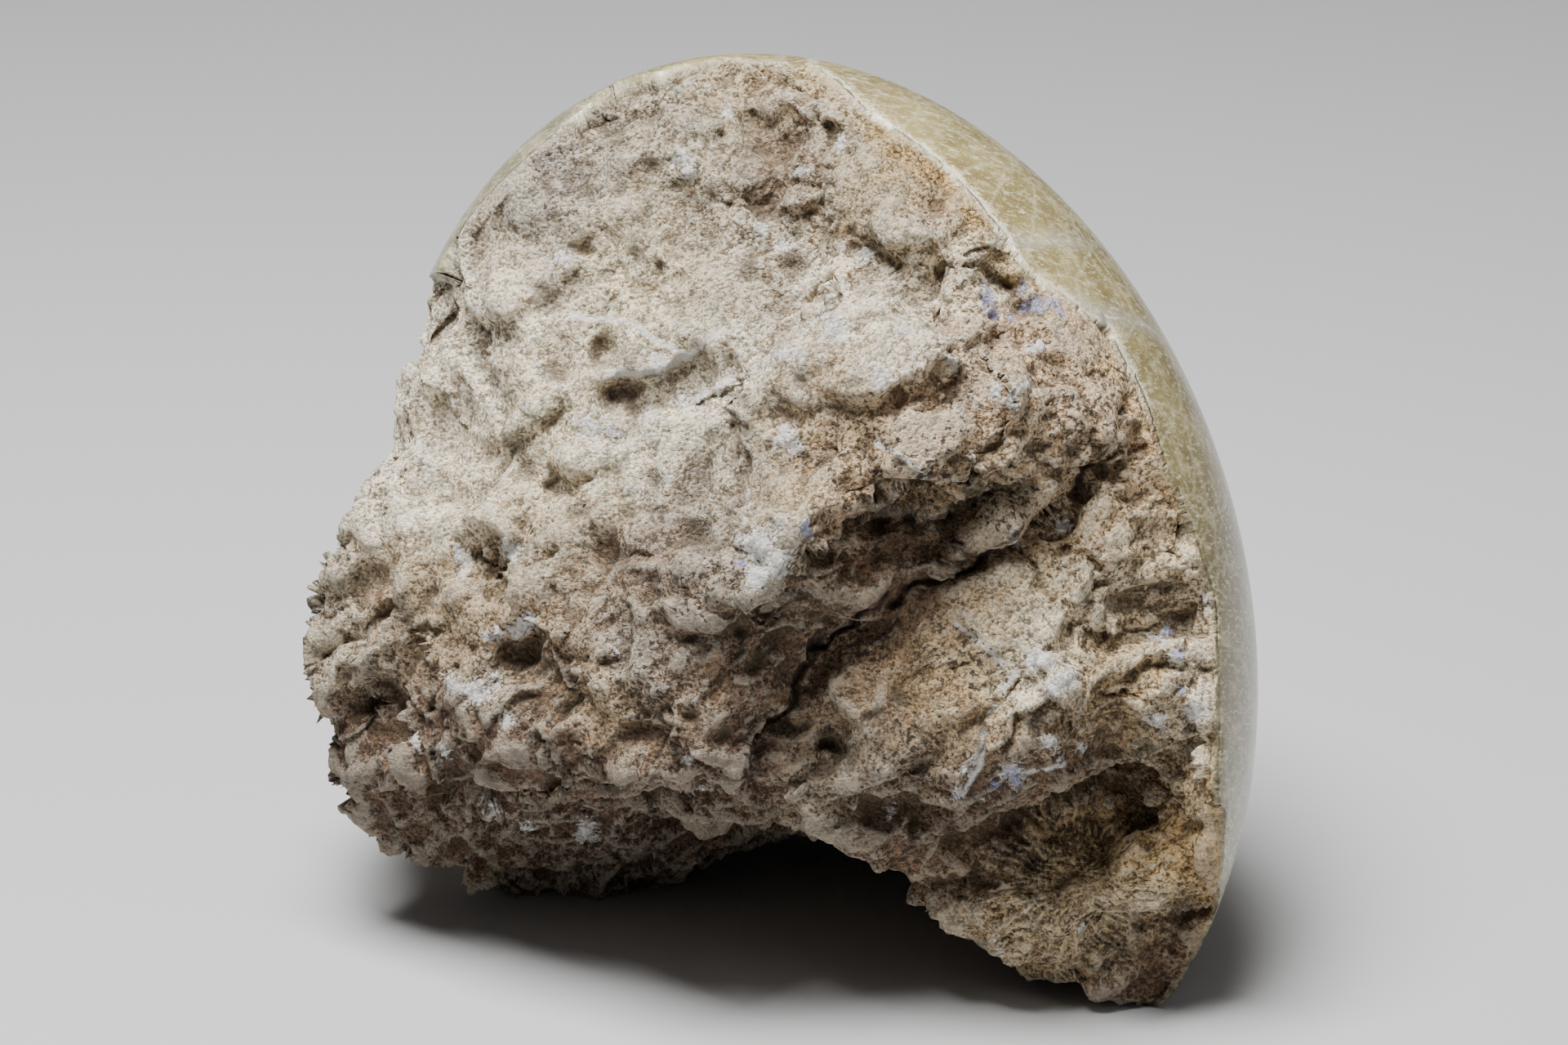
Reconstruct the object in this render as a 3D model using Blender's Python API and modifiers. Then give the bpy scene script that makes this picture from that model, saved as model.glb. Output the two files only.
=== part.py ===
# Fossil coral head: one loose piece broken from a fossil coral colony. Its outer side is
# ground and polished to a dome, its other side is the rough break.
#
# The stone is shaped in the frame of the break: x runs right across the break, y runs up
# along it and z points straight out of it. It is then leaned back onto its feet, with +Z
# up and the break facing -Y. Lengths are millimetres while the stone is shaped, and the
# finished mesh is scaled to metres.

import math

import bmesh
import bpy
import numpy as np
from mathutils import Matrix, Vector, noise

PART_NAME = "coral_head"
METRES_PER_MM = 0.001

# How the stone stands
LEAN = math.radians(20)  # the break leans back this far from upright
DOME_CENTRE = (5.0, -6.5, 35.3)  # the middle of the stone's box is then over the origin

# The ground and polished dome, an ellipsoid
DOME_OFFSET = (-1.4, 0.5, 0.0)
DOME_HALF_LENGTH = 57.0
DOME_HALF_WIDTH = 43.4
DOME_HALF_DEPTH = 41.0
DOME_TILT = math.radians(17)  # its long axis leans left by this much
DOME_SLANT = (0.10, -0.10)  # how its widest section rises to the right and up the break

# Working sizes
TOOL_REACH = 70.0  # how far a cutting tool reaches past the stone
BREAK_GRID = 1.1
UNDERSIDE_GRID = 1.4
VOXEL = 1.1
ROUGHNESS = 1.8  # height of the weathered lumps on broken rock
LUMP_SIZE = 8.0
RIDGE_SIZE = 5.5
RIDGE_SHIFT = Vector((7, 3, 1))
SKIN = 0.7  # rock within this depth of the dome's face keeps the dome's polish
TRIANGLES = 9200
SNAP = 0.02  # corners this close to the floor are put on it

# Rock that was never ground off: the lumps outside the dome, and the core, which stands
# proud of the dome's shape on the broken side. Centre and radii.
LOBES = {
    "west upper": ((-45.0, -0.6, -6.0), (6.5, 6.2, 18.0)),
    "west lower": ((-45.4, -6.0, -6.0), (6.6, 6.4, 18.0)),
    "shoulder": ((-40.5, 12.5, -5.0), (6.3, 6.3, 16.0)),
    "shoulder low": ((-41.5, 6.8, -5.0), (7.0, 5.0, 17.0)),
    "south-west upper": ((-42.0, -15.5, -5.0), (7.2, 7.0, 17.0)),
    "south-west lower": ((-39.8, -19.4, -7.0), (8.4, 6.9, 15.0)),
    "left heel": ((-33.0, -22.2, -10.0), (9.0, 7.6, 9.0)),
    "left foot": ((-24.5, -26.5, -15.0), (11.0, 7.5, 9.0)),
    "crest knuckle": ((-31.5, 38.5, -6.0), (6.0, 5.0, 8.0)),
    "crest": ((-22.0, 46.0, -6.0), (6.5, 5.0, 8.0)),
    "core": ((4.0, 8.0, 12.0), (26.0, 29.0, 30.0)),
}

# Height of the break over (x, y), by feature
BREAK = {
    "crown": [(-12, 55, 0), (-17.5, 52, 4), (-4.5, 53.5, 4), (0.5, 52, 11), (-19.5, 44.5, 6),
              (-11, 46, 7), (-22.5, 36, 8), (-13.5, 37, 11)],
    "crown gully": [(-5, 48.5, 5), (-7, 42, 9), (-4.5, 40, 9), (-7, 34.5, 13)],
    "right wall": [(-2, 50, 11), (-1, 44, 14), (-0.5, 37.5, 17), (3.5, 43.5, 20),
                   (6.5, 38, 24), (9, 42, 24), (13, 37.5, 25), (14.5, 35.5, 25)],
    "terrace": [(6.5, 33, 23), (2.5, 30.5, 24), (18, 31.5, 22.5), (15.5, 30, 25), (19.5, 32, 25)],
    "porous mass": [(22.5, 24, 27), (26.5, 25, 25), (26.5, 18, 26), (22, 16, 27),
                    (29, 21, 23), (18.5, 25.5, 27)],
    "knob": [(-9.5, 21, 23), (-7, 26, 22), (-1.5, 28, 27), (5, 27, 31), (10.5, 24, 34),
             (10, 21, 31), (17, 21, 33), (18.5, 14.5, 32), (13, 12, 33), (6.5, 11.5, 33),
             (2.5, 14.5, 34), (-3, 14.5, 31), (-7, 14.5, 28)],
    "knob's lower edge": [(16.5, 14.3, 32.5), (12, 12.8, 33.5), (6.5, 11.8, 33.8),
                          (1.5, 9.8, 33.2), (-2.5, 8, 32.5)],
    "under the knob": [(15, 9.9, 26.5), (11.5, 8.8, 25), (8, 8.3, 24.5), (4.5, 7.6, 25),
                       (7, 6.2, 25.5), (11, 7, 25.5)],
    "lip": [(17, 8.2, 28.5), (13.5, 6.2, 29.3), (9.5, 4.5, 29.3), (5, 3.3, 29), (0.5, 1.5, 29.5)],
    "nose": [(-7.5, 5, 32), (-7, 1.5, 33), (-3.8, 1.6, 31.5), (-1, 5.5, 31), (1.3, 4, 30.5)],
    "crack": [(26, 14, 24), (24.5, 11.5, 24), (17, 6.5, 26.5), (10.5, 3, 26.5), (6.5, 0.5, 26),
              (2, -1, 25.5), (-0.5, -3.5, 24), (-2.5, -6, 24), (-4.5, -8.5, 24), (-7.5, -12, 24)],
    "brow": [(-9, -2.6, 28.5), (-5.5, -3.2, 26.5), (-11, -7.5, 28.5), (-12.5, -11, 28), (-13.5, -16.5, 24),
             (-15.5, 3.5, 27), (-20.5, 0, 24), (-17.5, -8.5, 25), (-21.5, -12.5, 23),
             (-25.5, -4.5, 22), (-25.5, -16, 18), (-29.5, -13, 15)],
    "block": [(14.5, 2.8, 28), (18.5, 1.8, 29), (10.5, -3, 28.8), (14.5, -7, 29.8), (19, -6, 31),
              (21.5, -8.5, 31), (16, -12.5, 28.5), (22.5, -13.5, 27.5), (18, -15.8, 26),
              (6.5, -8.5, 27.3), (2.5, -12.5, 26), (-1.5, -8.5, 24), (-0.5, -13.5, 23),
              (6.5, -16, 25), (-1.5, -17.5, 23), (12.5, -17, 25)],
    "recess": [(9.5, -22, 17.5), (14.5, -21.5, 16.5), (23, -19.5, 14), (30, -18.5, 12.5),
               (29, -15.8, 14)],
    "ledge over the recess": [(27, -12, 23.5), (30, -12.3, 22.5)],
    "rim wall": [(33, -10.5, 22), (35, -15, 21), (37.5, -19.5, 18), (34.5, -24.5, 15)],
    "right foot": [(19, -25, 15), (23, -29, 16), (16.5, -31, 14), (20, -35, 13), (27, -29, 15),
                   (31, -28.5, 16), (34, -32, 11), (27.5, -37, 11), (31.5, -39.5, 10),
                   (35, -36, 10)],
    "stepped field": [(26.5, 11.5, 26), (22.5, 5, 26), (26.5, -0.5, 25), (26, -8.5, 25),
                      (31, -4.5, 23), (33, 3.5, 23), (32.5, -1.5, 22), (30.5, 7.5, 24),
                      (35, 10, 20)],
    "upper left slope": [(-39, 33, 2), (-43, 28, 0), (-37.5, 28, 4), (-43.5, 20, 0),
                         (-37.5, 20, 4), (-32.5, 24.5, 9), (-32.5, 15, 9), (-25.5, 25.5, 12),
                         (-25.5, 16.5, 14), (-16, 25, 17), (-21, 20.5, 15), (-13.5, 16, 21)],
    "left slope": [(-41, 11.5, 3), (-27.5, 11.5, 14), (-20.5, 10, 19), (-13.5, 10, 23),
                   (-34, 6.5, 12), (-33, 4, 10), (-34, 1.5, 13), (-29.5, 0, 18),
                   (-29.5, -3, 19), (-29, -6.5, 16)],
    "left lobes": [(-46, 1.5, 4), (-42.5, 0, 7), (-37, -1.5, 11), (-49.5, 3, 1), (-51, -3.5, 0),
                   (-48.5, -9, 2), (-45, -10, 3), (-40.5, -7.5, 8), (-35.5, -9, 13),
                   (-40.5, -13, 8), (-37.5, -16.5, 9), (-31.5, -16.5, 12), (-44.5, -16, 2),
                   (-48, -13.5, -2), (-43, -20, 0)],
}

# Where the break meets the dome's face: down the right side, and at the top left
RIGHT_RIM = [(-3, 62), (-1.5, 54.5), (1, 52.5), (3.5, 49.5), (7, 47), (11, 44), (15, 39.5),
             (17.5, 36), (18.6, 33.5), (20.5, 31.7), (23.7, 30), (25.4, 28.4), (27.8, 27.4),
             (28.4, 25), (30, 22.6), (31.3, 19.5), (33, 13),
             (35.5, 7.5), (37.6, 1), (38, -6), (38, -12.5), (37.7, -17.5), (38.5, -22),
             (38.8, -26.5), (38.2, -31), (36.5, -36), (34, -40), (32.5, -44), (32, -60)]
TOP_LEFT_RIM = [(-40, 33), (-36.5, 39.5), (-32.8, 43.2), (-29, 46.6), (-25, 50.2), (-21.5, 53.5),
                (-20, 60)]
RIM_STEP = 0.6  # the break starts this far below the dome's face
RIM_BAND = 4.0  # and stays below it for this far in

# Sharp forms on the break. A ledge is raised on the left of its path and lowered on the
# right, a groove is cut along its path, and a pit or a bump is round.
LEDGES = [
    # path, height, reach to each side
    ([(-8, -13), (-4.5, -9.5), (0.5, -2.5), (7.5, 2), (17, 6.5), (26, 14)], 1.8, 5.0),
    ([(-3, -19.5), (6.5, -19), (13, -19), (19, -17), (25, -15.5)], 2.5, 4.0),
    ([(-3, 36), (-3.2, 43), (-3.4, 50)], -1.5, 4.0),
    ([(-35, -4.5), (-29, -5), (-27, -3.5), (-27, 0)], 1.0, 2.5),
    ([(32, -29.5), (39, -29.5)], 2.0, 4.0),
    ([(20, -6), (24, -12)], 1.0, 4.0),
    ([(-3, 6.5), (0, 7.6), (2.2, 8.8), (5.7, 10.3), (8.9, 11), (12.8, 11.3), (16.4, 12.5),
      (20, 14.5)], 2.0, 3.0),
    ([(-10.5, -1), (-8.5, 6), (-8.5, 14), (-9.5, 20)], -1.2, 4.0),
    ([(-26, 21), (-20, 23), (-14, 25)], 0.9, 3.0),
    ([(-11, 38), (-6, 36.5), (-3.5, 34.5)], 1.2, 3.0),
]
GROOVES = [
    # path, depth, half width
    ([(-6.5, -11.5), (-2.5, -6), (0.5, -2.5), (4.5, 0), (11, 2.5), (17, 6), (23.5, 10.5)], 2.0, 0.9),
    ([(2.5, 7), (6, 8.5), (9, 9.3), (13, 9.7), (17, 11)], 1.5, 1.7),
    ([(-6, -2), (-2, -1)], 1.2, 1.4),
    ([(15.8, 33.5), (17.8, 31.5), (19.8, 28.8)], 2.2, 1.2),
    ([(2, 35.4), (7, 34.8), (13, 35)], 1.0, 1.8),
    ([(-46, -8.5), (-45.5, -11.5), (-44.5, -14.5)], 3.0, 1.5),
    ([(-41, -5), (-42.5, -8), (-45, -9.5)], 1.6, 1.2),
    ([(27.5, -14), (29.5, -15.5), (31, -17.5)], 1.6, 1.5),
    ([(-22.5, 25), (-14.5, 27)], 0.8, 1.8),
]
BUMPS = [
    # centre, radius, height
    ((-37.5, 27.5), 1.8, -2.4),
    ((-20.5, 21.2), 2.2, -2.4),
    ((-28.0, 11.2), 1.6, -1.8),
    ((-32.8, 4.0), 2.4, -2.2),
    ((-0.6, -13.8), 1.7, -3.0),
    ((10.3, 20.6), 2.3, -2.6),
    ((17.0, 27.0), 1.5, -1.8),
    ((-23.0, 17.8), 2.0, 1.2),
    ((-34.5, 8.0), 2.2, 1.4),
    ((-35.5, -9.0), 2.6, 1.3),
    ((-19.0, 23.8), 2.4, 1.4),
    ((-33.0, 30.5), 3.4, 1.8),
    ((-24.0, 31.0), 3.2, 1.5),
]

# The lower edge of the overhanging brow, and the rock behind it, seen under it
BROW_EDGE = [(-40, -25), (-34, -20.5), (-27, -18.8), (-19.5, -19.8), (-16.2, -18.8),
             (-13.7, -20.8), (-4.5, -20), (-2, -21.2), (3, -60)]
UNDER_BROW = [(-34.5, -20, 2), (-30.5, -22.5, -2), (-33, -25.5, -8), (-26.5, -24, -6),
              (-25, -27.5, -13), (-25, -31, -19), (-18, -24, -8), (-14, -22, -8),
              (-9.5, -22.5, -12), (-18.5, -29.5, -20), (-2, -26, -16), (-40, -24, -6)]

# Height of the rock's underside over (x, y) as it stands, from the point below the dome's
# middle. Numbers below the floor are the three places it rests on.
UNDERSIDE = {
    "right foot": [(32, -24, -1.6), (35, -20, 0.8), (28, -20, 0.8), (30, -28, 0.6),
                   (37, -28, 2.5)],
    "left foot": [(-24.5, 8, -1.5), (-30, 8, 1.5), (-20, 11, 0.2)],
    "back foot": [(8, 17.5, -1.8), (2, 17, 1.2), (14, 15, 1.2)],
    "right arch": [(1.2, -26, 19.5), (10.9, -26, 13.4), (16.7, -24.8, 8), (23.3, -24.4, 3.3)],
    "front of the arch": [(-30, -22, 27), (-20, -22, 25), (-10, -22, 24), (-2, -24, 22),
                          (-30, -34, 40), (-10, -36, 40), (8, -38, 26), (24, -36, 12)],
    "arch roof": [(-10, -14, 20), (-10, -5, 14), (-10, 5, 7.5), (5, -18, 16), (6, -6, 11),
                  (14, -10, 7), (6, 2, 7), (-20, -8, 16), (-22, 0, 6)],
    "arch back": [(-15.7, 10, 2), (-6.2, 14, 4.2), (0, 17, 4.5)],
    "left lobes": [(-41, 2, 6.2), (-35, 5, 3), (-46, 0, 9), (-34, -8, 15)],
    "back": [(-20, 22, 2.5), (-8, 26, 2), (2, 31, 1.6), (-30, 18, 4), (32, 12, 3), (38, 0, 5),
             (30, 0, 4.5), (22, 8, 5), (8, 9, 4.5), (40, -12, 4.5), (28, 28, 4), (-34, 26, 8),
             (-14, 36, 5), (10, 40, 5)],
}


def clear_scene():
    for item in list(bpy.data.objects):
        bpy.data.objects.remove(item)
    for group in list(bpy.data.collections):
        bpy.data.collections.remove(group)


def collection(name):
    group = bpy.data.collections.new(name)
    bpy.context.scene.collection.children.link(group)
    return group


def object_from(bm, name, group):
    bmesh.ops.recalc_face_normals(bm, faces=bm.faces)
    mesh = bpy.data.meshes.new(name)
    bm.to_mesh(mesh)
    bm.free()
    item = bpy.data.objects.new(name, mesh)
    group.objects.link(item)
    return item


def apply_modifiers(item):
    """Makes the object's mesh what its modifiers show."""
    depsgraph = bpy.context.evaluated_depsgraph_get()
    mesh = bpy.data.meshes.new_from_object(item.evaluated_get(depsgraph))
    item.modifiers.clear()
    item.data = mesh


def coordinates(mesh):
    flat = np.empty(len(mesh.vertices) * 3)
    mesh.vertices.foreach_get("co", flat)
    return flat.reshape(-1, 3)


def set_coordinates(mesh, points):
    mesh.vertices.foreach_set("co", points.ravel())
    mesh.update()


def thin_plate(points):
    """Returns the smooth height over (x, y) that passes through the given points."""
    known = np.array(points, float)

    def bend(distance):
        return distance ** 2 * np.log(distance + 1e-9)

    def plane(xy):
        return np.column_stack([np.ones(len(xy)), xy])

    count = len(known)
    system = np.zeros((count + 3, count + 3))
    apart = np.linalg.norm(known[:, None, :2] - known[None, :, :2], axis=2)
    system[:count, :count] = bend(apart) + 1.0 * np.eye(count)
    system[:count, count:] = plane(known[:, :2])
    system[count:, :count] = plane(known[:, :2]).T
    weights = np.linalg.solve(system, np.append(known[:, 2], np.zeros(3)))

    def height(xy):
        apart = np.linalg.norm(xy[:, None] - known[None, :, :2], axis=2)
        return bend(apart) @ weights[:count] + plane(xy) @ weights[count:]

    return height


def from_path(xy, path):
    """Returns each point's distance to the path, and +1 to the path's left, -1 to its right."""
    best = np.full(len(xy), np.inf)
    side = np.ones(len(xy))
    for start, end in zip(path, path[1:]):
        start, along = np.array(start, float), np.subtract(end, start)
        step = np.clip((xy - start) @ along / (along @ along), 0, 1)
        offset = xy - start - step[:, None] * along
        distance = np.hypot(offset[:, 0], offset[:, 1])
        nearer = distance < best
        best[nearer] = distance[nearer]
        turn = along[0] * offset[:, 1] - along[1] * offset[:, 0]
        side[nearer] = np.where(turn[nearer] >= 0, 1, -1)
    return best, side


def dome_front(xy):
    """Height of the dome's near face over (x, y)."""
    x, y = (xy - DOME_OFFSET[:2]).T
    along = (y * math.cos(DOME_TILT) - x * math.sin(DOME_TILT)) / DOME_HALF_LENGTH
    across = (x * math.cos(DOME_TILT) + y * math.sin(DOME_TILT)) / DOME_HALF_WIDTH
    bulge = np.sqrt(np.maximum(0, 1 - along ** 2 - across ** 2))
    return DOME_SLANT[0] * x + DOME_SLANT[1] * y + DOME_HALF_DEPTH * bulge


def break_height(xy):
    """Height of the broken face over (x, y)."""
    known = [point for points in BREAK.values() for point in points]
    rim = np.array(RIGHT_RIM + TOP_LEFT_RIM, float)
    known += np.column_stack([rim, dome_front(rim) - RIM_STEP]).tolist()
    height = thin_plate(known)(xy)
    for path, rise, reach in LEDGES:
        distance, side = from_path(xy, path)
        height += side * rise * np.exp(-distance / reach)
    for path, depth, half_width in GROOVES:
        height -= depth * np.exp(-(from_path(xy, path)[0] / half_width) ** 2)
    for centre, radius, rise in BUMPS:
        height += rise * np.exp(-(np.linalg.norm(xy - centre, axis=1) / radius) ** 2)
    dome = dome_front(xy)
    for rim in (RIGHT_RIM, TOP_LEFT_RIM):
        distance, side = from_path(xy, rim)
        ceiling = dome - RIM_STEP + np.maximum(0, distance - RIM_BAND)
        height = np.where(side > 0, dome + RIM_BAND, np.minimum(height, ceiling))
    below_brow = from_path(xy, BROW_EDGE)[1] < 0
    return np.where(below_brow, thin_plate(UNDER_BROW)(xy), height)


def underside_height(xy):
    return thin_plate([point for points in UNDERSIDE.values() for point in points])(xy)


def dome_matrix():
    """Turns the unit ball into the dome."""
    size = Matrix.Diagonal((DOME_HALF_WIDTH, DOME_HALF_LENGTH, DOME_HALF_DEPTH, 1))
    slant = Matrix.Identity(4)
    slant[2][0], slant[2][1] = DOME_SLANT
    return Matrix.Translation(DOME_OFFSET) @ slant @ Matrix.Rotation(DOME_TILT, 4, "Z") @ size


def standing_matrix():
    """Leans the stone back and puts its feet on the floor."""
    return Matrix.Translation(DOME_CENTRE) @ Matrix.Rotation(math.pi / 2 - LEAN, 4, "X")


def add_ball(name, matrix, detail, group):
    bm = bmesh.new()
    bmesh.ops.create_icosphere(bm, subdivisions=detail, radius=1.0, matrix=matrix)
    return object_from(bm, name, group)


def add_tool(name, height, spacing, reach, group):
    """A block whose inner face follows a height over (x, y). It reaches away along z."""
    count = round(2 * abs(reach) / spacing)
    bm = bmesh.new()
    bmesh.ops.create_grid(bm, x_segments=count, y_segments=count, size=abs(reach))
    xy = np.array([vertex.co.xy for vertex in bm.verts])
    limit = abs(reach) - 5
    for vertex, z in zip(list(bm.verts), np.clip(height(xy), -limit, limit)):
        vertex.co.z = z
    outer = bmesh.ops.extrude_face_region(bm, geom=bm.faces[:])["geom"]
    for item in outer:
        if isinstance(item, bmesh.types.BMVert):
            item.co.z = reach
    return object_from(bm, name, group)


def boolean(item, tool, operation):
    modifier = item.modifiers.new(tool.name, "BOOLEAN")
    modifier.operation = operation
    modifier.object = tool
    modifier.solver = "EXACT"


def remesh(item, voxel):
    modifier = item.modifiers.new("even faces", "REMESH")
    modifier.mode = "VOXEL"
    modifier.voxel_size = voxel


def weather(item):
    """Roughens the broken rock and leaves the dome as it was ground."""
    mesh = item.data
    points = coordinates(mesh)
    normals = np.array([vertex.normal for vertex in mesh.vertices])
    to_ball = (standing_matrix() @ dome_matrix()).inverted()
    for index, point in enumerate(points):
        inside = 1 - (to_ball @ Vector(point)).length
        depth = inside * DOME_HALF_DEPTH
        if -0.4 < depth < SKIN:
            continue
        lumps = noise.fractal(Vector(point) / LUMP_SIZE, 0.9, 2.2, 4)
        ridges = 1 - 3 * abs(noise.noise(Vector(point) / RIDGE_SIZE + RIDGE_SHIFT))
        rise = ROUGHNESS * (lumps + 0.4 * ridges)
        if depth > 0:
            rise = min(rise, depth)
        points[index] += rise * normals[index]
    set_coordinates(mesh, points)


def decimate(item, triangles):
    count = sum(len(face.vertices) - 2 for face in item.data.polygons)
    modifier = item.modifiers.new("fewer faces", "DECIMATE")
    modifier.ratio = triangles / count


def flatten_feet(item):
    """Cuts the stone off level where its feet reach the floor."""
    bm = bmesh.new()
    bm.from_mesh(item.data)
    geometry = bm.verts[:] + bm.edges[:] + bm.faces[:]
    cut = bmesh.ops.bisect_plane(
        bm, geom=geometry, dist=SNAP, plane_co=(0, 0, 0), plane_no=(0, 0, 1), clear_inner=True
    )
    for vertex in bm.verts:
        if abs(vertex.co.z) <= SNAP:
            vertex.co.z = 0
    rim = [edge for edge in cut["geom_cut"] if isinstance(edge, bmesh.types.BMEdge)]
    bmesh.ops.holes_fill(bm, edges=rim)
    bmesh.ops.triangulate(bm, faces=bm.faces)
    bm.to_mesh(item.data)
    bm.free()


def scale_to_metres(item):
    item.data.transform(Matrix.Scale(METRES_PER_MM, 4))
    item.data.update()


def stone_material():
    material = bpy.data.materials.new("fossil coral stone")
    material.use_nodes = True
    shader = material.node_tree.nodes["Principled BSDF"]
    shader.inputs["Base Color"].default_value = (0.42, 0.32, 0.21, 1)
    shader.inputs["Roughness"].default_value = 0.8
    shader.inputs["Metallic"].default_value = 0.0
    return material


def main():
    clear_scene()
    parts = collection("fossil coral head")
    tools = collection("tools")

    stone = add_ball(PART_NAME, dome_matrix(), 6, parts)
    for name, (centre, radii) in LOBES.items():
        place = Matrix.Translation(centre) @ Matrix.Diagonal((*radii, 1))
        boolean(stone, add_ball(name, place, 4, tools), "UNION")
    break_tool = add_tool("break", break_height, BREAK_GRID, TOOL_REACH, tools)
    boolean(stone, break_tool, "DIFFERENCE")
    apply_modifiers(stone)

    stone.data.transform(standing_matrix())
    underside = add_tool("underside", underside_height, UNDERSIDE_GRID, -TOOL_REACH, tools)
    underside.data.transform(Matrix.Translation((DOME_CENTRE[0], DOME_CENTRE[1], 0)))
    boolean(stone, underside, "DIFFERENCE")
    remesh(stone, VOXEL)
    apply_modifiers(stone)

    weather(stone)
    decimate(stone, TRIANGLES)
    apply_modifiers(stone)
    flatten_feet(stone)
    scale_to_metres(stone)

    stone.data.materials.append(stone_material())
    stone.data.shade_smooth()
    stone.data.set_sharp_from_angle(angle=math.radians(50))
    for tool in tools.objects:
        tool.hide_render = True
        tool.display_type = "WIRE"


main()
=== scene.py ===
import math

import bmesh
import bpy
import numpy as np
from mathutils import Matrix, Vector, noise


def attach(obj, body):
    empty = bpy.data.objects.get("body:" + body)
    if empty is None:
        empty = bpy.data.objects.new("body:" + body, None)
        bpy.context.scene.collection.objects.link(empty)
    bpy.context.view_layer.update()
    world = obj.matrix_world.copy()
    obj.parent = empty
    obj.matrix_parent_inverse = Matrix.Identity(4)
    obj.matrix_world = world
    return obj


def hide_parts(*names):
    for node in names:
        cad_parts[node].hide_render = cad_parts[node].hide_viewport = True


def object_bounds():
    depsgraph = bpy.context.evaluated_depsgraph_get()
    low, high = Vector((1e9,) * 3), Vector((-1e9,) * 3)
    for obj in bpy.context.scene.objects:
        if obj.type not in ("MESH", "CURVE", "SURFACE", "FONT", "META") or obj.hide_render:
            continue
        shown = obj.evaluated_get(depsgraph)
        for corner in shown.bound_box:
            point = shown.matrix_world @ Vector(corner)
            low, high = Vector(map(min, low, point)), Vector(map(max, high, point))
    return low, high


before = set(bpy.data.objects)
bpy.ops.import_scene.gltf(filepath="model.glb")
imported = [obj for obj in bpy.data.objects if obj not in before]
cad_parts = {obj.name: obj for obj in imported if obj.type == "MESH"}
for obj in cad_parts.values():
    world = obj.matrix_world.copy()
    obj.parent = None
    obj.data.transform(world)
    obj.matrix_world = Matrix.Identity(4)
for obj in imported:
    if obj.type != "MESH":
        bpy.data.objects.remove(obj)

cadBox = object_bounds()
print("frame loaded")

mm = 0.001  # the stone is worked in millimetres, its mesh is in metres

# How the stone stands. The break has its own axes: x right across it, y up along it, z out of it.
stance = {
    "lean": math.radians(20),
    "domeCentre": (5.0, -6.5, 35.3),
    "domeOffset": (-1.4, 0.5, 0.0),
    "domeHalf": (43.4, 57.0, 41.0),
    "domeTilt": math.radians(17),
    "domeSlant": (0.10, -0.10),
}


def standing():
    return Matrix.Translation(stance["domeCentre"]) @ Matrix.Rotation(math.pi / 2 - stance["lean"], 4, "X")


def domeShape():
    slant = Matrix.Identity(4)
    slant[2][0], slant[2][1] = stance["domeSlant"]
    turn = Matrix.Rotation(stance["domeTilt"], 4, "Z")
    size = Matrix.Diagonal((*stance["domeHalf"], 1))
    return Matrix.Translation(stance["domeOffset"]) @ slant @ turn @ size


def moved(matrix, points):
    m = np.array(matrix)
    return points @ m[:3, :3].T + m[:3, 3]


# Helpers over the surface. Each takes points in mm and gives one number for each point.

def noiseAt(points, size, shift=0.0):
    return np.array([noise.noise(p) for p in (points / size + shift).tolist()])


def fractalAt(points, size, octaves=4, shift=0.0):
    return np.array([noise.fractal(p, 0.8, 2.1, octaves) for p in (points / size + shift).tolist()])


def smooth(low, high, value):
    t = np.clip((value - low) / (high - low), 0, 1)
    return t * t * (3 - 2 * t)


def scatter(centres, seed):
    # three numbers from 0 to 1 that belong to each cell centre
    mix = centres @ np.array([[127.1, 269.5, 419.2], [311.7, 183.3, 371.9], [74.7, 246.1, 151.7]]) + seed
    return np.abs(np.sin(mix) * 43758.5453) % 1


def cellsAt(points, size):
    found = [noise.voronoi(p) for p in (points / size).tolist()]
    gaps = np.array([f[0][:2] for f in found])
    first = np.array([f[1][0] for f in found])
    second = np.array([f[1][1] for f in found])
    return gaps, first, second


def plates(points, size, tilt, step, seam):
    # broken stone: each cell is a flat face leaning its own way, with a short slope at its edge
    gaps, first, second = cellsAt(points, size)

    def face(centres):
        lean = scatter(centres, 1) * 2 - 1
        lift = (scatter(centres, 7)[:, 0] - 0.5) * step
        return ((points / size - centres) * lean).sum(axis=1) * tilt + lift

    share = smooth(0, seam, gaps[:, 1] - gaps[:, 0])
    own, other = face(first), face(second)
    return size * (own * (0.5 + 0.5 * share) + other * (0.5 - 0.5 * share))


def pits(points, size, radius, keep):
    # 1 in the middle of a round pit, 0 outside. keep is the share of cells that have one
    gaps, first, second = cellsAt(points, size)
    chance = scatter(first, 3)
    own = radius * (0.5 + 0.8 * chance[:, 1])
    return smooth(own, own * 0.3, gaps[:, 0]) * (chance[:, 0] < keep)


def pathGap(xy, path):
    # distance to a path, the side it is on (+1 left, -1 right), and how far along the path, 0 to 1
    best = np.full(len(xy), 1e9)
    side = np.ones(len(xy))
    share = np.zeros(len(xy))
    lengths = [math.dist(start, end) for start, end in zip(path, path[1:])]
    before = 0.0
    for start, end, length in zip(path, path[1:], lengths):
        start, along = np.array(start, float), np.subtract(end, start).astype(float)
        t = np.clip((xy - start) @ along / (along @ along), 0, 1)
        offset = xy - start - t[:, None] * along
        gap = np.hypot(offset[:, 0], offset[:, 1])
        near = gap < best
        best[near] = gap[near]
        turn = along[0] * offset[:, 1] - along[1] * offset[:, 0]
        side[near] = np.where(turn[near] >= 0, 1, -1)
        share[near] = (before + t[near] * length) / sum(lengths)
        before += length
    return best, side, share


def spots(xy, places):
    # soft round patches, each (x, y, radius)
    total = np.zeros(len(xy))
    for x, y, radius in places:
        total = np.maximum(total, np.exp(-((xy[:, 0] - x) ** 2 + (xy[:, 1] - y) ** 2) / radius ** 2))
    return total


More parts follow.
